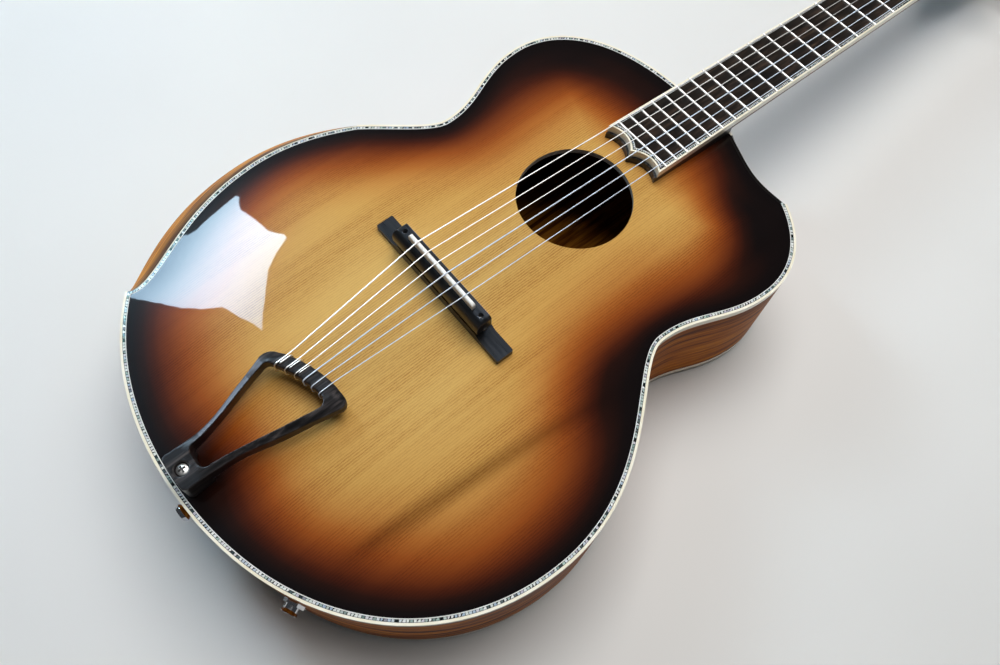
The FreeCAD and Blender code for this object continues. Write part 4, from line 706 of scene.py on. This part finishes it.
# Bevelled edges of the body
SLOPE_STEPS = 8
SLOPE_ROWS = 140
SLOPE_BULGE = 0.03
STAIN_SHARE = 0.5
STAIN_BEND = 0.6
BEVEL_BURST = 0.03


def bevel_row(bevel, s, share):
    """Points across a bevel at one place: its binding, its slope, its foot and its back."""
    inset = BINDING_WIDE + bevel[3] * share
    fall = BEVEL_EDGE + bevel[4] * share
    bound = BINDING_WIDE / inset
    places = [0.0] + list(np.linspace(bound, 1.0, SLOPE_STEPS + 1))
    bulge = SLOPE_BULGE * bevel[3] * share
    row = [(*rim_at(s, inset * (1 - t)), bulge * math.sin(math.pi * t) - fall * t) for t in places]
    foot = -fall - BEVEL_BACKING
    row += [(*rim_at(s, 0.0), foot), (*rim_at(s, inset), foot)]
    reach = math.hypot(inset, fall)
    fades = [max(0.0, 1 - (t - bound) / STAIN_SHARE) ** STAIN_BEND for t in places[1:]]
    stain = [1.0] + fades + [0.0, 0.0]
    across = [reach * t for t in places] + [reach + BEVEL_BACKING, 0.0]
    return row, across, stain


def bevel_piece(name, node, bevel, side, slope, edge):
    """A bevelled edge with its strip of binding and a smooth slope, closed at its back and ends."""
    points, uv, stains = [], [], []
    length = 0.0
    for s, share in bevel_steps(bevel, SLOPE_ROWS):
        row, across, stain = bevel_row(bevel, s, share)
        if points:
            length += math.dist(points[-2][:2], row[-2][:2])
        points += row
        stains += stain
        uv += [(length, v) for v in across]
    columns = SLOPE_STEPS + 4
    faces = ring_faces(len(points) // columns, columns)
    strip = [i for i, face in enumerate(faces) if face[0] % columns == 0]
    faces.append(tuple(range(columns)))
    faces.append(tuple(range(len(points) - columns, len(points)))[::-1])
    count = len(points)
    marks = {"stain": stains, "burst": np.full(count, BEVEL_BURST), "streak": np.zeros(count)}
    block = piece(name, np.array(points) * (1, side, 1), faces, slope, uv=uv, marks=marks)
    block.data.materials.append(edge)
    for face in strip:
        block.data.polygons[face].material_index = 1
    settle(by_angle(tidy_normals(block), 35), "figured_wood", node)


# Trees for what repeats along the guitar
def new_tree(name, inputs):
    """An empty geometry tree with named inputs and one output."""
    tree = bpy.data.node_groups.new(name, "GeometryNodeTree")
    for label, kind in inputs:
        tree.interface.new_socket(name=label, in_out="INPUT", socket_type="NodeSocket" + kind)
    tree.interface.new_socket(name="Geometry", in_out="OUTPUT", socket_type="NodeSocketGeometry")
    return tree, tree.nodes.new("NodeGroupInput").outputs


def end_tree(tree, geometry, material):
    """Ends a tree: instances made real, their material set."""
    whole = add(tree, "GeometryNodeRealizeInstances", {"Geometry": geometry})
    painted = add(tree, "GeometryNodeSetMaterial", {"Geometry": whole, "Material": material})
    add(tree, "NodeGroupOutput", {0: painted})
    return tree


def reckon(tree, operation, first, second):
    """One step of arithmetic."""
    return add(tree, "ShaderNodeMath", {0: first, 1: second}, operation=operation)


def drawn(tree, low, high, seed):
    """A value drawn at random for each place."""
    return add(tree, "FunctionNodeRandomValue", {2: low, 3: high, "Seed": seed}, 1)


def fret_tree():
    """Frets set by the rule of the scale, each as long as the board is wide there."""
    tree, given = new_tree("frets by the rule of the scale", (
        ("Scale length", "Float"), ("Frets", "Int"), ("Crown width", "Float"), ("Crown height", "Float"),
        ("End half", "Float"), ("Nut half", "Float"), ("Board end", "Float"), ("Wire", "Material")))
    line = add(tree, "GeometryNodeMeshLine", {"Count": given["Frets"]})
    number = reckon(tree, "ADD", add(tree, "GeometryNodeInputIndex"), 1.0)
    share = reckon(tree, "POWER", 2.0, reckon(tree, "DIVIDE", number, -12.0))
    along = reckon(tree, "MULTIPLY", given["Scale length"], share)
    half = add(tree, "ShaderNodeMapRange", {"Value": along, "From Min": given["Board end"],
                                            "From Max": given["Scale length"], "To Min": given["End half"],
                                            "To Max": given["Nut half"]}, clamp=False)
    spot = add(tree, "ShaderNodeCombineXYZ", {"X": along})
    spots = add(tree, "GeometryNodeSetPosition", {"Geometry": line, "Position": spot})
    crown = add(tree, "GeometryNodeMeshCylinder", {"Vertices": 28, "Radius": 1.0, "Depth": 2.0})
    lying = add(tree, "GeometryNodeTransform", {"Geometry": crown, "Rotation": (math.pi / 2, 0, 0)})
    wide = reckon(tree, "MULTIPLY", given["Crown width"], 0.5)
    size = add(tree, "ShaderNodeCombineXYZ", {"X": wide, "Y": half, "Z": given["Crown height"]})
    rows = add(tree, "GeometryNodeInstanceOnPoints", {"Points": spots, "Instance": lying, "Scale": size})
    return end_tree(tree, rows, given["Wire"])


# The longest chip as a share of its place, and what the draw of its tone adds to the seed
LONGEST_CHIP = 0.97
TONE_SEED = 7.0


def shell_tree():
    """Chips of shell laid end to end along a path, each of its own length, tilt and tone."""
    tree, given = new_tree("shell chips along a path", (
        ("Path", "Geometry"), ("Chip length", "Float"), ("Chip width", "Float"), ("Chip depth", "Float"),
        ("Shortest", "Float"), ("Tilt", "Float"), ("Seed", "Int"), ("Shell", "Material")))
    curve = add(tree, "GeometryNodeMeshToCurve", {"Mesh": given["Path"]})
    points = add(tree, "GeometryNodeCurveToPoints", {"Curve": curve, "Length": given["Chip length"]},
                 mode="LENGTH")
    tangent = points.node.outputs["Tangent"]
    turn = add(tree, "FunctionNodeAlignRotationToVector", {"Vector": tangent}, axis="X", pivot_axis="Z")
    low = reckon(tree, "MULTIPLY", given["Tilt"], -1.0)
    lean = drawn(tree, low, given["Tilt"], given["Seed"])
    angles = add(tree, "ShaderNodeCombineXYZ", {"X": lean, "Y": lean})
    tilt = add(tree, "FunctionNodeEulerToRotation", {0: angles})
    turn = add(tree, "FunctionNodeRotateRotation", {0: turn, 1: tilt}, rotation_space="LOCAL")
    cut = drawn(tree, given["Shortest"], LONGEST_CHIP, given["Seed"])
    long = reckon(tree, "MULTIPLY", given["Chip length"], cut)
    size = add(tree, "ShaderNodeCombineXYZ", {"X": long, "Y": given["Chip width"], "Z": given["Chip depth"]})
    block = add(tree, "GeometryNodeMeshCube", {"Size": (1, 1, 1)})
    chips = add(tree, "GeometryNodeInstanceOnPoints", {"Points": points, "Instance": block, "Rotation": turn,
                                                       "Scale": size})
    tone = drawn(tree, 0.0, 1.0, reckon(tree, "ADD", given["Seed"], TONE_SEED))
    toned = add(tree, "GeometryNodeStoreNamedAttribute", {"Geometry": chips, "Name": "chip", "Value": tone},
                domain="INSTANCE", data_type="FLOAT")
    return end_tree(tree, toned, given["Shell"])


def line_tree():
    """A thin square line let in along a path."""
    inputs = (("Path", "Geometry"), ("Width", "Float"), ("Wood", "Material"))
    tree, given = new_tree("line along a path", inputs)
    curve = add(tree, "GeometryNodeMeshToCurve", {"Mesh": given["Path"]})
    level = add(tree, "GeometryNodeSetCurveNormal", {"Curve": curve}, mode="Z_UP")
    profile = add(tree, "GeometryNodeCurvePrimitiveQuadrilateral",
                  {"Width": given["Width"], "Height": given["Width"]})
    strip = add(tree, "GeometryNodeCurveToMesh",
                {"Curve": level, "Profile Curve": profile, "Fill Caps": True})
    return end_tree(tree, strip, given["Wood"])


def grown(name, tree, values, path=()):
    """Runs a geometry tree, on a path of points in the row frame if it takes one, and keeps a plain mesh."""
    holder = placed(name + "_tree", bpy.data.meshes.new(name + "_tree"))
    holder.data.from_pydata([tuple(p) for p in path], [(i, i + 1) for i in range(len(path) - 1)], [])
    modifier = holder.modifiers.new("tree", "NODES")
    modifier.node_group = tree
    for item in tree.interface.items_tree:
        if item.in_out == "INPUT" and item.name in values:
            modifier[item.identifier] = values[item.name]
    mesh = as_shown(holder)
    holder.modifiers.remove(modifier)
    bpy.data.objects.remove(holder)
    mesh.name = name
    return placed(name, mesh)


def frets():
    values = {"Scale length": SCALE_LENGTH * MM, "Frets": FRET_COUNT, "Crown width": FRET_WIDE * MM,
              "Crown height": FRET_TALL * MM, "End half": (BOARD_END[1] - FRET_SHORT) * MM,
              "Nut half": (NUT_HALF - FRET_SHORT) * MM, "Board end": BOARD_END[0] * MM, "Wire": NICKEL}
    wires = grown("fret_wires", fret_tree(), values)
    wires.data.transform(NECK_PLACE @ Matrix.Translation((0, 0, -FRET_TALL * MM)))
    all_smooth(wires.data)
    settle(by_angle(wires, 40), "fret_wire", "frets")


CHIP_LENGTH = 2.4
BOARD_CHIP_LENGTH = 2.0
SHORTEST_CHIP = 0.6
CHIP_DEPTH = 0.5
CHIP_TILT = math.radians(2.0)
SEED = 11
# Bare bed beside the shell, and between it and the white line
TOP_BED = 0.3
BOARD_BED = 0.25
LINE_GAP = 0.1


def inlay(name, shell_path, line_path, shell_wide, line_wide, chip_length, seed):
    """Shell chips and the thin white line beside them, along two paths in the row frame."""
    values = {"Chip length": chip_length * MM, "Chip width": shell_wide * MM, "Chip depth": CHIP_DEPTH * MM,
              "Shortest": SHORTEST_CHIP, "Tilt": CHIP_TILT, "Seed": seed, "Shell": SHELL}
    sunk = shell_path - (0, 0, (CHIP_DEPTH / 2 - INLAY_PROUD) * MM)
    chips = grown(name + "_shell", SHELL_TREE, values, sunk)
    settle(chips, "shell")
    values = {"Width": line_wide * MM, "Wood": WHITE_LINE}
    sunk = line_path - (0, 0, (line_wide / 2 - INLAY_PROUD) * MM)
    line = grown(name + "_white_line", LINE_TREE, values, sunk)
    settle(tidy_normals(line), "cream")


SHELL_TREE = shell_tree()
LINE_TREE = line_tree()
# The purfling stops where the bevel of the treble shoulder begins
PURFLING_END = 3.63


def top_inlay():
    stop = rim_at(PURFLING_END, BINDING_WIDE)
    paths = []
    for width in (TOP_BED + SHELL_WIDE / 2, TOP_BED + LINE_GAP + SHELL_WIDE + LINE_WIDE / 2):
        loop = evenly(moved_in(EDGE, width), FINE_EDGE)[0]
        keep = (loop[:, 1] > 0) | (loop[:, 1] < -stop[1]) | (loop[:, 0] < 0)
        flat = opened(loop, keep)
        paths.append(to_row(np.column_stack([flat, np.zeros(len(flat))])))
    inlay("top", *paths, SHELL_WIDE, LINE_WIDE, CHIP_LENGTH, SEED)


def board_inlay():
    outline = board_outline()
    paths = []
    line_at = BOARD_BED + LINE_GAP + BOARD_SHELL_WIDE + BOARD_LINE_WIDE / 2
    for width in (BOARD_BED + BOARD_SHELL_WIDE / 2, line_at):
        loop = evenly(moved_in(outline, BOARD_BINDING + width), FINE_EDGE)[0]
        flat = opened(loop, loop[:, 0] < SCALE_LENGTH)
        paths.append(neck_to_row(np.column_stack([flat, np.full(len(flat), -FRET_TALL)])))
    inlay("board", *paths, BOARD_SHELL_WIDE, BOARD_LINE_WIDE, BOARD_CHIP_LENGTH, SEED + 1)


# Pieces shown as the solids are, with a small round on their edges
def smooth_tree():
    """Smooth shading with crisp edges above an angle."""
    tree, given = new_tree("smooth by angle", (("Geometry", "Geometry"), ("Angle", "Float")))
    bend = add(tree, "GeometryNodeInputMeshEdgeAngle")
    soft = add(tree, "FunctionNodeCompare", {"A": bend, "B": given["Angle"]}, operation="LESS_THAN")
    edges = add(tree, "GeometryNodeSetShadeSmooth", {"Geometry": given["Geometry"], "Shade Smooth": soft},
                domain="EDGE")
    faces = add(tree, "GeometryNodeSetShadeSmooth", {"Geometry": edges, "Shade Smooth": True}, domain="FACE")
    add(tree, "NodeGroupOutput", {0: faces})
    return tree


SMOOTH_TREE = smooth_tree()
CRISP_ANGLE = math.radians(32)
ROUND_ANGLE = math.radians(35)
FLAT_ANGLE = math.radians(0.1)


def dress(node, material, round_mm):
    """Gives a solid its material, its rounded edges and its shading."""
    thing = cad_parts[node]
    thing.data.materials.clear()
    thing.data.materials.append(material)
    weld = thing.modifiers.new("weld", "WELD")
    weld.merge_threshold = WELD_REACH
    if round_mm:
        flat = thing.modifiers.new("flat", "DECIMATE")
        flat.decimate_type = "DISSOLVE"
        flat.angle_limit = FLAT_ANGLE
        bevel = thing.modifiers.new("round", "BEVEL")
        bevel.width = round_mm * MM
        bevel.segments = 2
        bevel.limit_method = "ANGLE"
        bevel.angle_limit = ROUND_ANGLE
    smooth = thing.modifiers.new("smooth", "NODES")
    smooth.node_group = SMOOTH_TREE
    smooth[SMOOTH_TREE.interface.items_tree["Angle"].identifier] = CRISP_ANGLE
    if round_mm:
        lean = thing.modifiers.new("lean", "WEIGHTED_NORMAL")
        lean.keep_sharp = True


def dress_solids():
    # Material, round on the edges in millimetres, and the solids
    finishes = (
        (BACK_WOOD, 0, ("back_plate",)), (CREAM, 0, ("back_binding", "top_binding")),
        (SIDE_WOOD, 0, ("bass_side", "treble_side")), (NECK_WOOD, 0, ("neck",)),
        (INNER_WOOD, 0, ("neck_block", "tail_block", "top_lining", "back_lining", "tone_bars")),
        (BOARD_EBONY, 0, ("fingerboard",)), (CREAM, 0.25, ("fingerboard_binding",)),
        (DARK_LINE, 0, ("fingerboard_purfling",)), (EBONY, 0.4, ("fingerboard_riser", "heel_cap")),
        (HEAD_EBONY, 0.5, ("headplate",)), (BONE, 0.25, ("nut", "saddle")),
        (BRIDGE_EBONY, 0.5, ("bridge_base", "bridge_carrier")),
        (STEEL, 0, ("truss_rod", "strap_button_screw")),
        (CHROME, 0.15, ("bridge_posts", "thumbwheel_bass", "thumbwheel_treble")),
        (CHROME, 0.3, ("strap_button", "output_jack", "jack_nut", "tuner_housings", "tuner_bushings")),
        (STEEL, 0.15, ("tuner_screws",)), (BLACK_PLASTIC, 0.2, ("pickup",)),
        (BLACK_PLASTIC, 0, ("pickup_lead",)),
        (CHROME, 0, tuple("tuner_%s_%d" % (kind, n) for kind in ("key", "post") for n in range(1, 7))),
    )
    for material, round_mm, nodes in finishes:
        for node in nodes:
            dress(node, material, round_mm)


# The tailpiece, carved from one board and rubbed smooth
def merged_copy(node):
    """A copy of a solid's mesh in the row frame, its doubled points merged."""
    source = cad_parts[node]
    mesh = source.data.copy()
    mesh.transform(source.matrix_world)
    work = bmesh.new()
    work.from_mesh(mesh)
    bmesh.ops.remove_doubles(work, verts=work.verts, dist=WELD_REACH)
    return mesh, work


CARVE_MM = 0.5
RUB_PASSES = 7
RUB_SHARE = 0.5
FOOT_TOP = 20.0
FOOT_FRONT_X = -214.0
BAR_TOP = 32.6
BAR_LEVEL_X = -137.0
TAILPIECE_MIDDLE = (-165.0, -2.0)
# The arms are highest along the opening and fall away to their outer edges
ARM_FALL = 3.4
ARM_FALL_WIDE = 8.0
ARM_FALL_BEND = 1.3
ARM_FULL_X = -199.0
BAR_FROM_X = -150.0
TIES_HALF = 19.0
TIES_FADE = 6.0
# A wall counts this far down from the top, where its normal leans less than this share
WALL_TALL = 3.0
WALL_LEAN = 0.5
FALL_SLACK = 0.5


def carved(mesh, rub_passes):
    """A mesh cut again in small even steps and rubbed smooth."""
    block = placed("carving", mesh)
    carve = block.modifiers.new("carve", "REMESH")
    carve.mode = "VOXEL"
    carve.voxel_size = CARVE_MM * MM
    rub = block.modifiers.new("rub", "SMOOTH")
    rub.factor = RUB_SHARE
    rub.iterations = rub_passes
    result = as_shown(block)
    bpy.data.objects.remove(block)
    return result


def slope_arms(mesh):
    """Lowers the arms of the tailpiece towards their outer edges."""
    count = len(mesh.vertices)
    points = np.zeros(count * 3, np.float32)
    mesh.vertices.foreach_get("co", points)
    points = points.reshape(-1, 3).astype(float) / MM - SHIFT
    normals = np.zeros(count * 3, np.float32)
    mesh.vertices.foreach_get("normal", normals)
    normals = normals.reshape(-1, 3)
    top = np.interp(points[:, 0], (FOOT_FRONT_X, BAR_LEVEL_X), (FOOT_TOP, BAR_TOP))
    outward = ((points[:, :2] - TAILPIECE_MIDDLE) * normals[:, :2]).sum(1) > 0
    upright = np.abs(normals[:, 2]) < WALL_LEAN
    wall = np.flatnonzero(outward & upright & (points[:, 2] > top - WALL_TALL))
    near = KDTree(len(wall))
    for i in wall:
        near.insert((points[i, 0], points[i, 1], 0.0), int(i))
    near.balance()
    upper = np.flatnonzero(points[:, 2] > top - ARM_FALL - FALL_SLACK)
    reach = np.array([near.find((points[i, 0], points[i, 1], 0.0))[2] for i in upper])
    x, y = points[upper, 0], np.abs(points[upper, 1])
    share = np.clip((x - FOOT_FRONT_X) / (ARM_FULL_X - FOOT_FRONT_X), 0, 1)
    share *= np.where(x > BAR_FROM_X, np.clip((y - TIES_HALF) / TIES_FADE, 0, 1), 1.0)
    fall = share * ARM_FALL * np.clip(1 - reach / ARM_FALL_WIDE, 0, 1) ** ARM_FALL_BEND
    points[upper, 2] = np.minimum(points[upper, 2], top[upper] - fall)
    mesh.vertices.foreach_set("co", to_row(points).astype(np.float32).ravel())
    mesh.update()


def carved_tailpiece():
    mesh, work = merged_copy("tailpiece")
    work.to_mesh(mesh)
    work.free()
    board = carved(mesh, 0)
    slope_arms(board)
    finished = carved(board, RUB_PASSES)
    finished.materials.clear()
    finished.materials.append(EBONY)
    all_smooth(finished)
    tailpiece = placed("carved_tailpiece", finished)
    settle(tailpiece, "ebony", "tailpiece")


# The screw that holds the tailpiece, with a domed head and a cross recess
SCREW_X = -219.6
SCREW_SEAT = 15.6
# The head's radius, height and dome, the shaft's radius and length, the cross's length, width and depth
SCREW_HEAD = (4.1, 3.2, 1.3)
SCREW_SHAFT = (2.0, 42.0)
CROSS = (5.4, 1.5, 1.9)
SCREW_SIDES = 64


def screw_box(long, wide):
    """One slot of the cross recess, from its floor to above the head, carrying painted shade into the
    recess.
    """
    low = SCREW_SEAT + SCREW_HEAD[1] - CROSS[2]
    corners = [(SCREW_X + sx * long / 2, sy * wide / 2) for sx, sy in ((-1, -1), (1, -1), (1, 1), (-1, 1))]
    points = [(x, y, z) for z in (low, low + 2 * CROSS[2]) for x, y in corners]
    faces = ring_faces(2, 4) + [(3, 2, 1, 0), (4, 5, 6, 7)]
    return tidy_normals(piece("slot", points, faces, PAINTED_RECESS_SHADE))


def cross_head_screw():
    radius, tall, dome = SCREW_HEAD
    top = SCREW_SEAT + tall
    profile = [(radius * t, top - dome * t * t) for t in np.linspace(0.05, 1.0, 9)]
    shaft, length = SCREW_SHAFT
    profile += [(radius, SCREW_SEAT), (shaft, SCREW_SEAT), (shaft, SCREW_SEAT - length)]
    sides = SCREW_SIDES
    turns = 2 * math.pi * np.arange(sides) / sides
    points = [(SCREW_X + r * math.cos(a), r * math.sin(a), z) for r, z in profile for a in turns]
    faces = ring_faces(len(profile), sides)
    faces += [tuple(range(sides)), tuple(range(len(points) - sides, len(points)))[::-1]]
    screw = tidy_normals(piece("cross_head_screw", points, faces, PLATED))
    for long, wide in (CROSS[:2], CROSS[1::-1]):
        slot = screw_box(long, wide)
        cut = screw.modifiers.new("cut", "BOOLEAN")
        cut.operation = "DIFFERENCE"
        cut.solver = "EXACT"
        cut.material_mode = "TRANSFER"
        cut.object = slot
        mesh = as_shown(screw)
        screw.modifiers.remove(cut)
        screw.data = mesh
        bpy.data.objects.remove(slot)
    settle(by_angle(screw, 32), "chrome", "tailpiece_screw")


# Strings, each in two pieces that meet on the saddle
BAR_X = -105.0


def string_pieces():
    bar, saddle = ((x + SHIFT[0]) * MM for x in (BAR_X, 0.0))
    for number in range(1, 7):
        for end, sign in (("tail", -1), ("neck", 1)):
            mesh, work = merged_copy("string_%d" % number)
            cut = bmesh.ops.bisect_plane(work, geom=work.verts[:] + work.edges[:] + work.faces[:],
                                         plane_co=(saddle, 0, 0), plane_no=(-sign, 0, 0), clear_outer=True)
            edges = [e for e in cut["geom_cut"] if isinstance(e, bmesh.types.BMEdge)]
            bmesh.ops.edgenet_fill(work, edges=edges)
            work.to_mesh(mesh)
            work.free()
            mesh.materials.clear()
            mesh.materials.append(WINDING if number > 3 else NYLON)
            all_smooth(mesh)
            cord = placed("string_%d_%s" % (number, end), mesh)
            by_angle(cord, 50)
            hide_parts("string_%d" % number)
            if end == "tail":
                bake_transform(cord)
            else:
                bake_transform(cord)


# Stage
AIR = 0.06
OVERHEAD_AT = (600.0, 200.0, 1900.0)
OVERHEAD_WATTS = 46.0
GLINT_WATTS = 110.0
OVERHEAD_SIDE = 1.6
SHEEN_AT = (-744.0, 1220.0, 501.0)
EDGE_SHEEN_AT = (1170.0, 585.0, 780.0)
SHEEN_WATTS = 14.0
EDGE_SHEEN_WATTS = 90.0
SHEEN_SIDE = 0.5
SHEEN_TINT = "CFE4FF"
FLOOR_REACH = 6.0
# The window's light at its lowest and highest corner, its middle, its two directions, and its corners
# in millimetres sideways and up from its middle
WINDOW_LIGHT = (21.0, 10.0)
WINDOW_AT = (-150.0, 1000.0, 1000.0)
WINDOW_SIDE = (-0.999, -0.045, 0.0)
WINDOW_UP = (0.034, -0.746, 0.665)
WINDOW = ((-183, -330), (170, -330), (166, -118), (150, -112), (112, -75), (98, 20), (85, 97),
          (31, 230), (12, 295), (-20, 250), (-67, 154), (-104, -10), (-150, -60), (-225, -110),
          (-225, -150), (-184, -250))


def soft_lamp(name, watts, spot, side, tint="FFFFFF", **seen_by):
    """A square soft lamp that shines on the body."""
    lamp = bpy.data.lights.new(name, "AREA")
    lamp.size = side
    lamp.energy = watts
    lamp.color = hex_linear(tint)[:3]
    holder = placed(name, lamp)
    spot, aim = (Vector(p) for p in to_row([spot, (0.0, 0.0, 0.0)]))
    holder.location = spot
    holder.rotation_euler = (aim - spot).to_track_quat("-Z", "Y").to_euler()
    for rays, seen in seen_by.items():
        setattr(holder, "visible_" + rays, seen)
    return holder


def shine_only_on(lamp, materials):
    """Lets a lamp light only the pieces of these materials."""
    group = bpy.data.collections.new(lamp.name)
    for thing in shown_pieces():
        if any(material in materials for material in thing.data.materials):
            group.objects.link(thing)
    lamp.light_linking.receiver_collection = group


def window():
    """A tall window beside the bass side, whose light lies on the lacquer by the armrest."""
    middle, side, up = (np.array(v) for v in (WINDOW_AT, WINDOW_SIDE, WINDOW_UP))
    mesh = bpy.data.meshes.new("window")
    mesh.from_pydata([tuple(p) for p in to_row([middle + s * side + u * up for s, u in WINDOW])], [],
                     [tuple(range(len(WINDOW)))])
    material = bpy.data.materials.new("daylight")
    material.use_nodes = True
    tree = material.node_tree
    tree.nodes.clear()
    height = add(tree, "ShaderNodeSeparateXYZ", {"Vector": own_place(tree)}, "Z")
    low, high = to_row([middle + end(u for _, u in WINDOW) * up for end in (min, max)])[:, 2]
    share = spread(tree, height, 0.0, 1.0, (low, high))
    colour = ramp(tree, share, (0.0, "CFEDFF"), (1.0, "B6DEFF"))
    light = spread(tree, share, *WINDOW_LIGHT)
    glow = add(tree, "ShaderNodeEmission", {"Color": colour, "Strength": light})
    add(tree, "ShaderNodeOutputMaterial", {"Surface": glow})
    mesh.materials.append(material)
    pane = placed("window", mesh)
    pane.visible_camera = False
    return pane


def stage():
    reach = FLOOR_REACH
    mesh = bpy.data.meshes.new("floor")
    corners = [(-reach, -reach, 0), (reach, -reach, 0), (reach, reach, 0), (-reach, reach, 0)]
    mesh.from_pydata(corners, [], [(0, 1, 2, 3)])
    mesh.materials.append(PAPER)
    floor = placed("floor", mesh)
    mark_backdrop(floor, window())
    world = bpy.data.worlds.new("studio air")
    bpy.context.scene.world = world
    world.use_nodes = True
    air = world.node_tree.nodes["Background"]
    air.inputs["Color"].default_value = hex_linear("F2F7FF")
    air.inputs["Strength"].default_value = AIR
    soft_lamp("overhead", OVERHEAD_WATTS, OVERHEAD_AT, OVERHEAD_SIDE, glossy=False)
    glint = soft_lamp("glint on metal", GLINT_WATTS, OVERHEAD_AT, OVERHEAD_SIDE, diffuse=False)
    shine_only_on(glint, (NICKEL, CHROME, STEEL, PLATED, WINDING, NYLON))
    sheens = ((SHEEN_AT, SHEEN_WATTS, EBONY), (EDGE_SHEEN_AT, EDGE_SHEEN_WATTS, BRIDGE_EBONY))
    for spot, watts, material in sheens:
        sheen = soft_lamp("sheen on " + material.name, watts, spot, SHEEN_SIDE, SHEEN_TINT, diffuse=False)
        shine_only_on(sheen, (material,))


# The camera stands where the photograph was taken from
CAMERA_AT = (-168.2, -239.3, 573.3)
CAMERA_RIGHT = (0.7693, -0.6379, 0.0352)
CAMERA_AHEAD = (0.2909, 0.3007, -0.9083)
LENS_MM = 30.37


def camera():
    lens = bpy.data.cameras.new("camera")
    lens.sensor_width = 36.0
    lens.sensor_fit = "HORIZONTAL"
    lens.lens = LENS_MM
    lens.clip_start = 0.01
    holder = placed("camera", lens)
    back = -Vector(CAMERA_AHEAD).normalized()
    right = Vector(CAMERA_RIGHT)
    right = (right - back * right.dot(back)).normalized()
    turn = Matrix((right, back.cross(right), back)).transposed().to_4x4()
    holder.matrix_world = Matrix.Translation(Vector(to_row([CAMERA_AT])[0])) @ turn
    bpy.context.scene.camera = holder


bpy.context.scene.view_settings.view_transform = "Standard"
camera()
carved_top()
purfling_bed()
top_inlay()
bevel_piece("armrest", "armrest_bevel", ARMREST, 1, SLOPE_WOOD, CREAM)
bevel_piece("shoulder_bevel", "cutaway_bevel", CUTAWAY, -1, CEDAR, CEDAR)
frets()
board_inlay()
dress_solids()
carved_tailpiece()
cross_head_screw()
string_pieces()
stage()
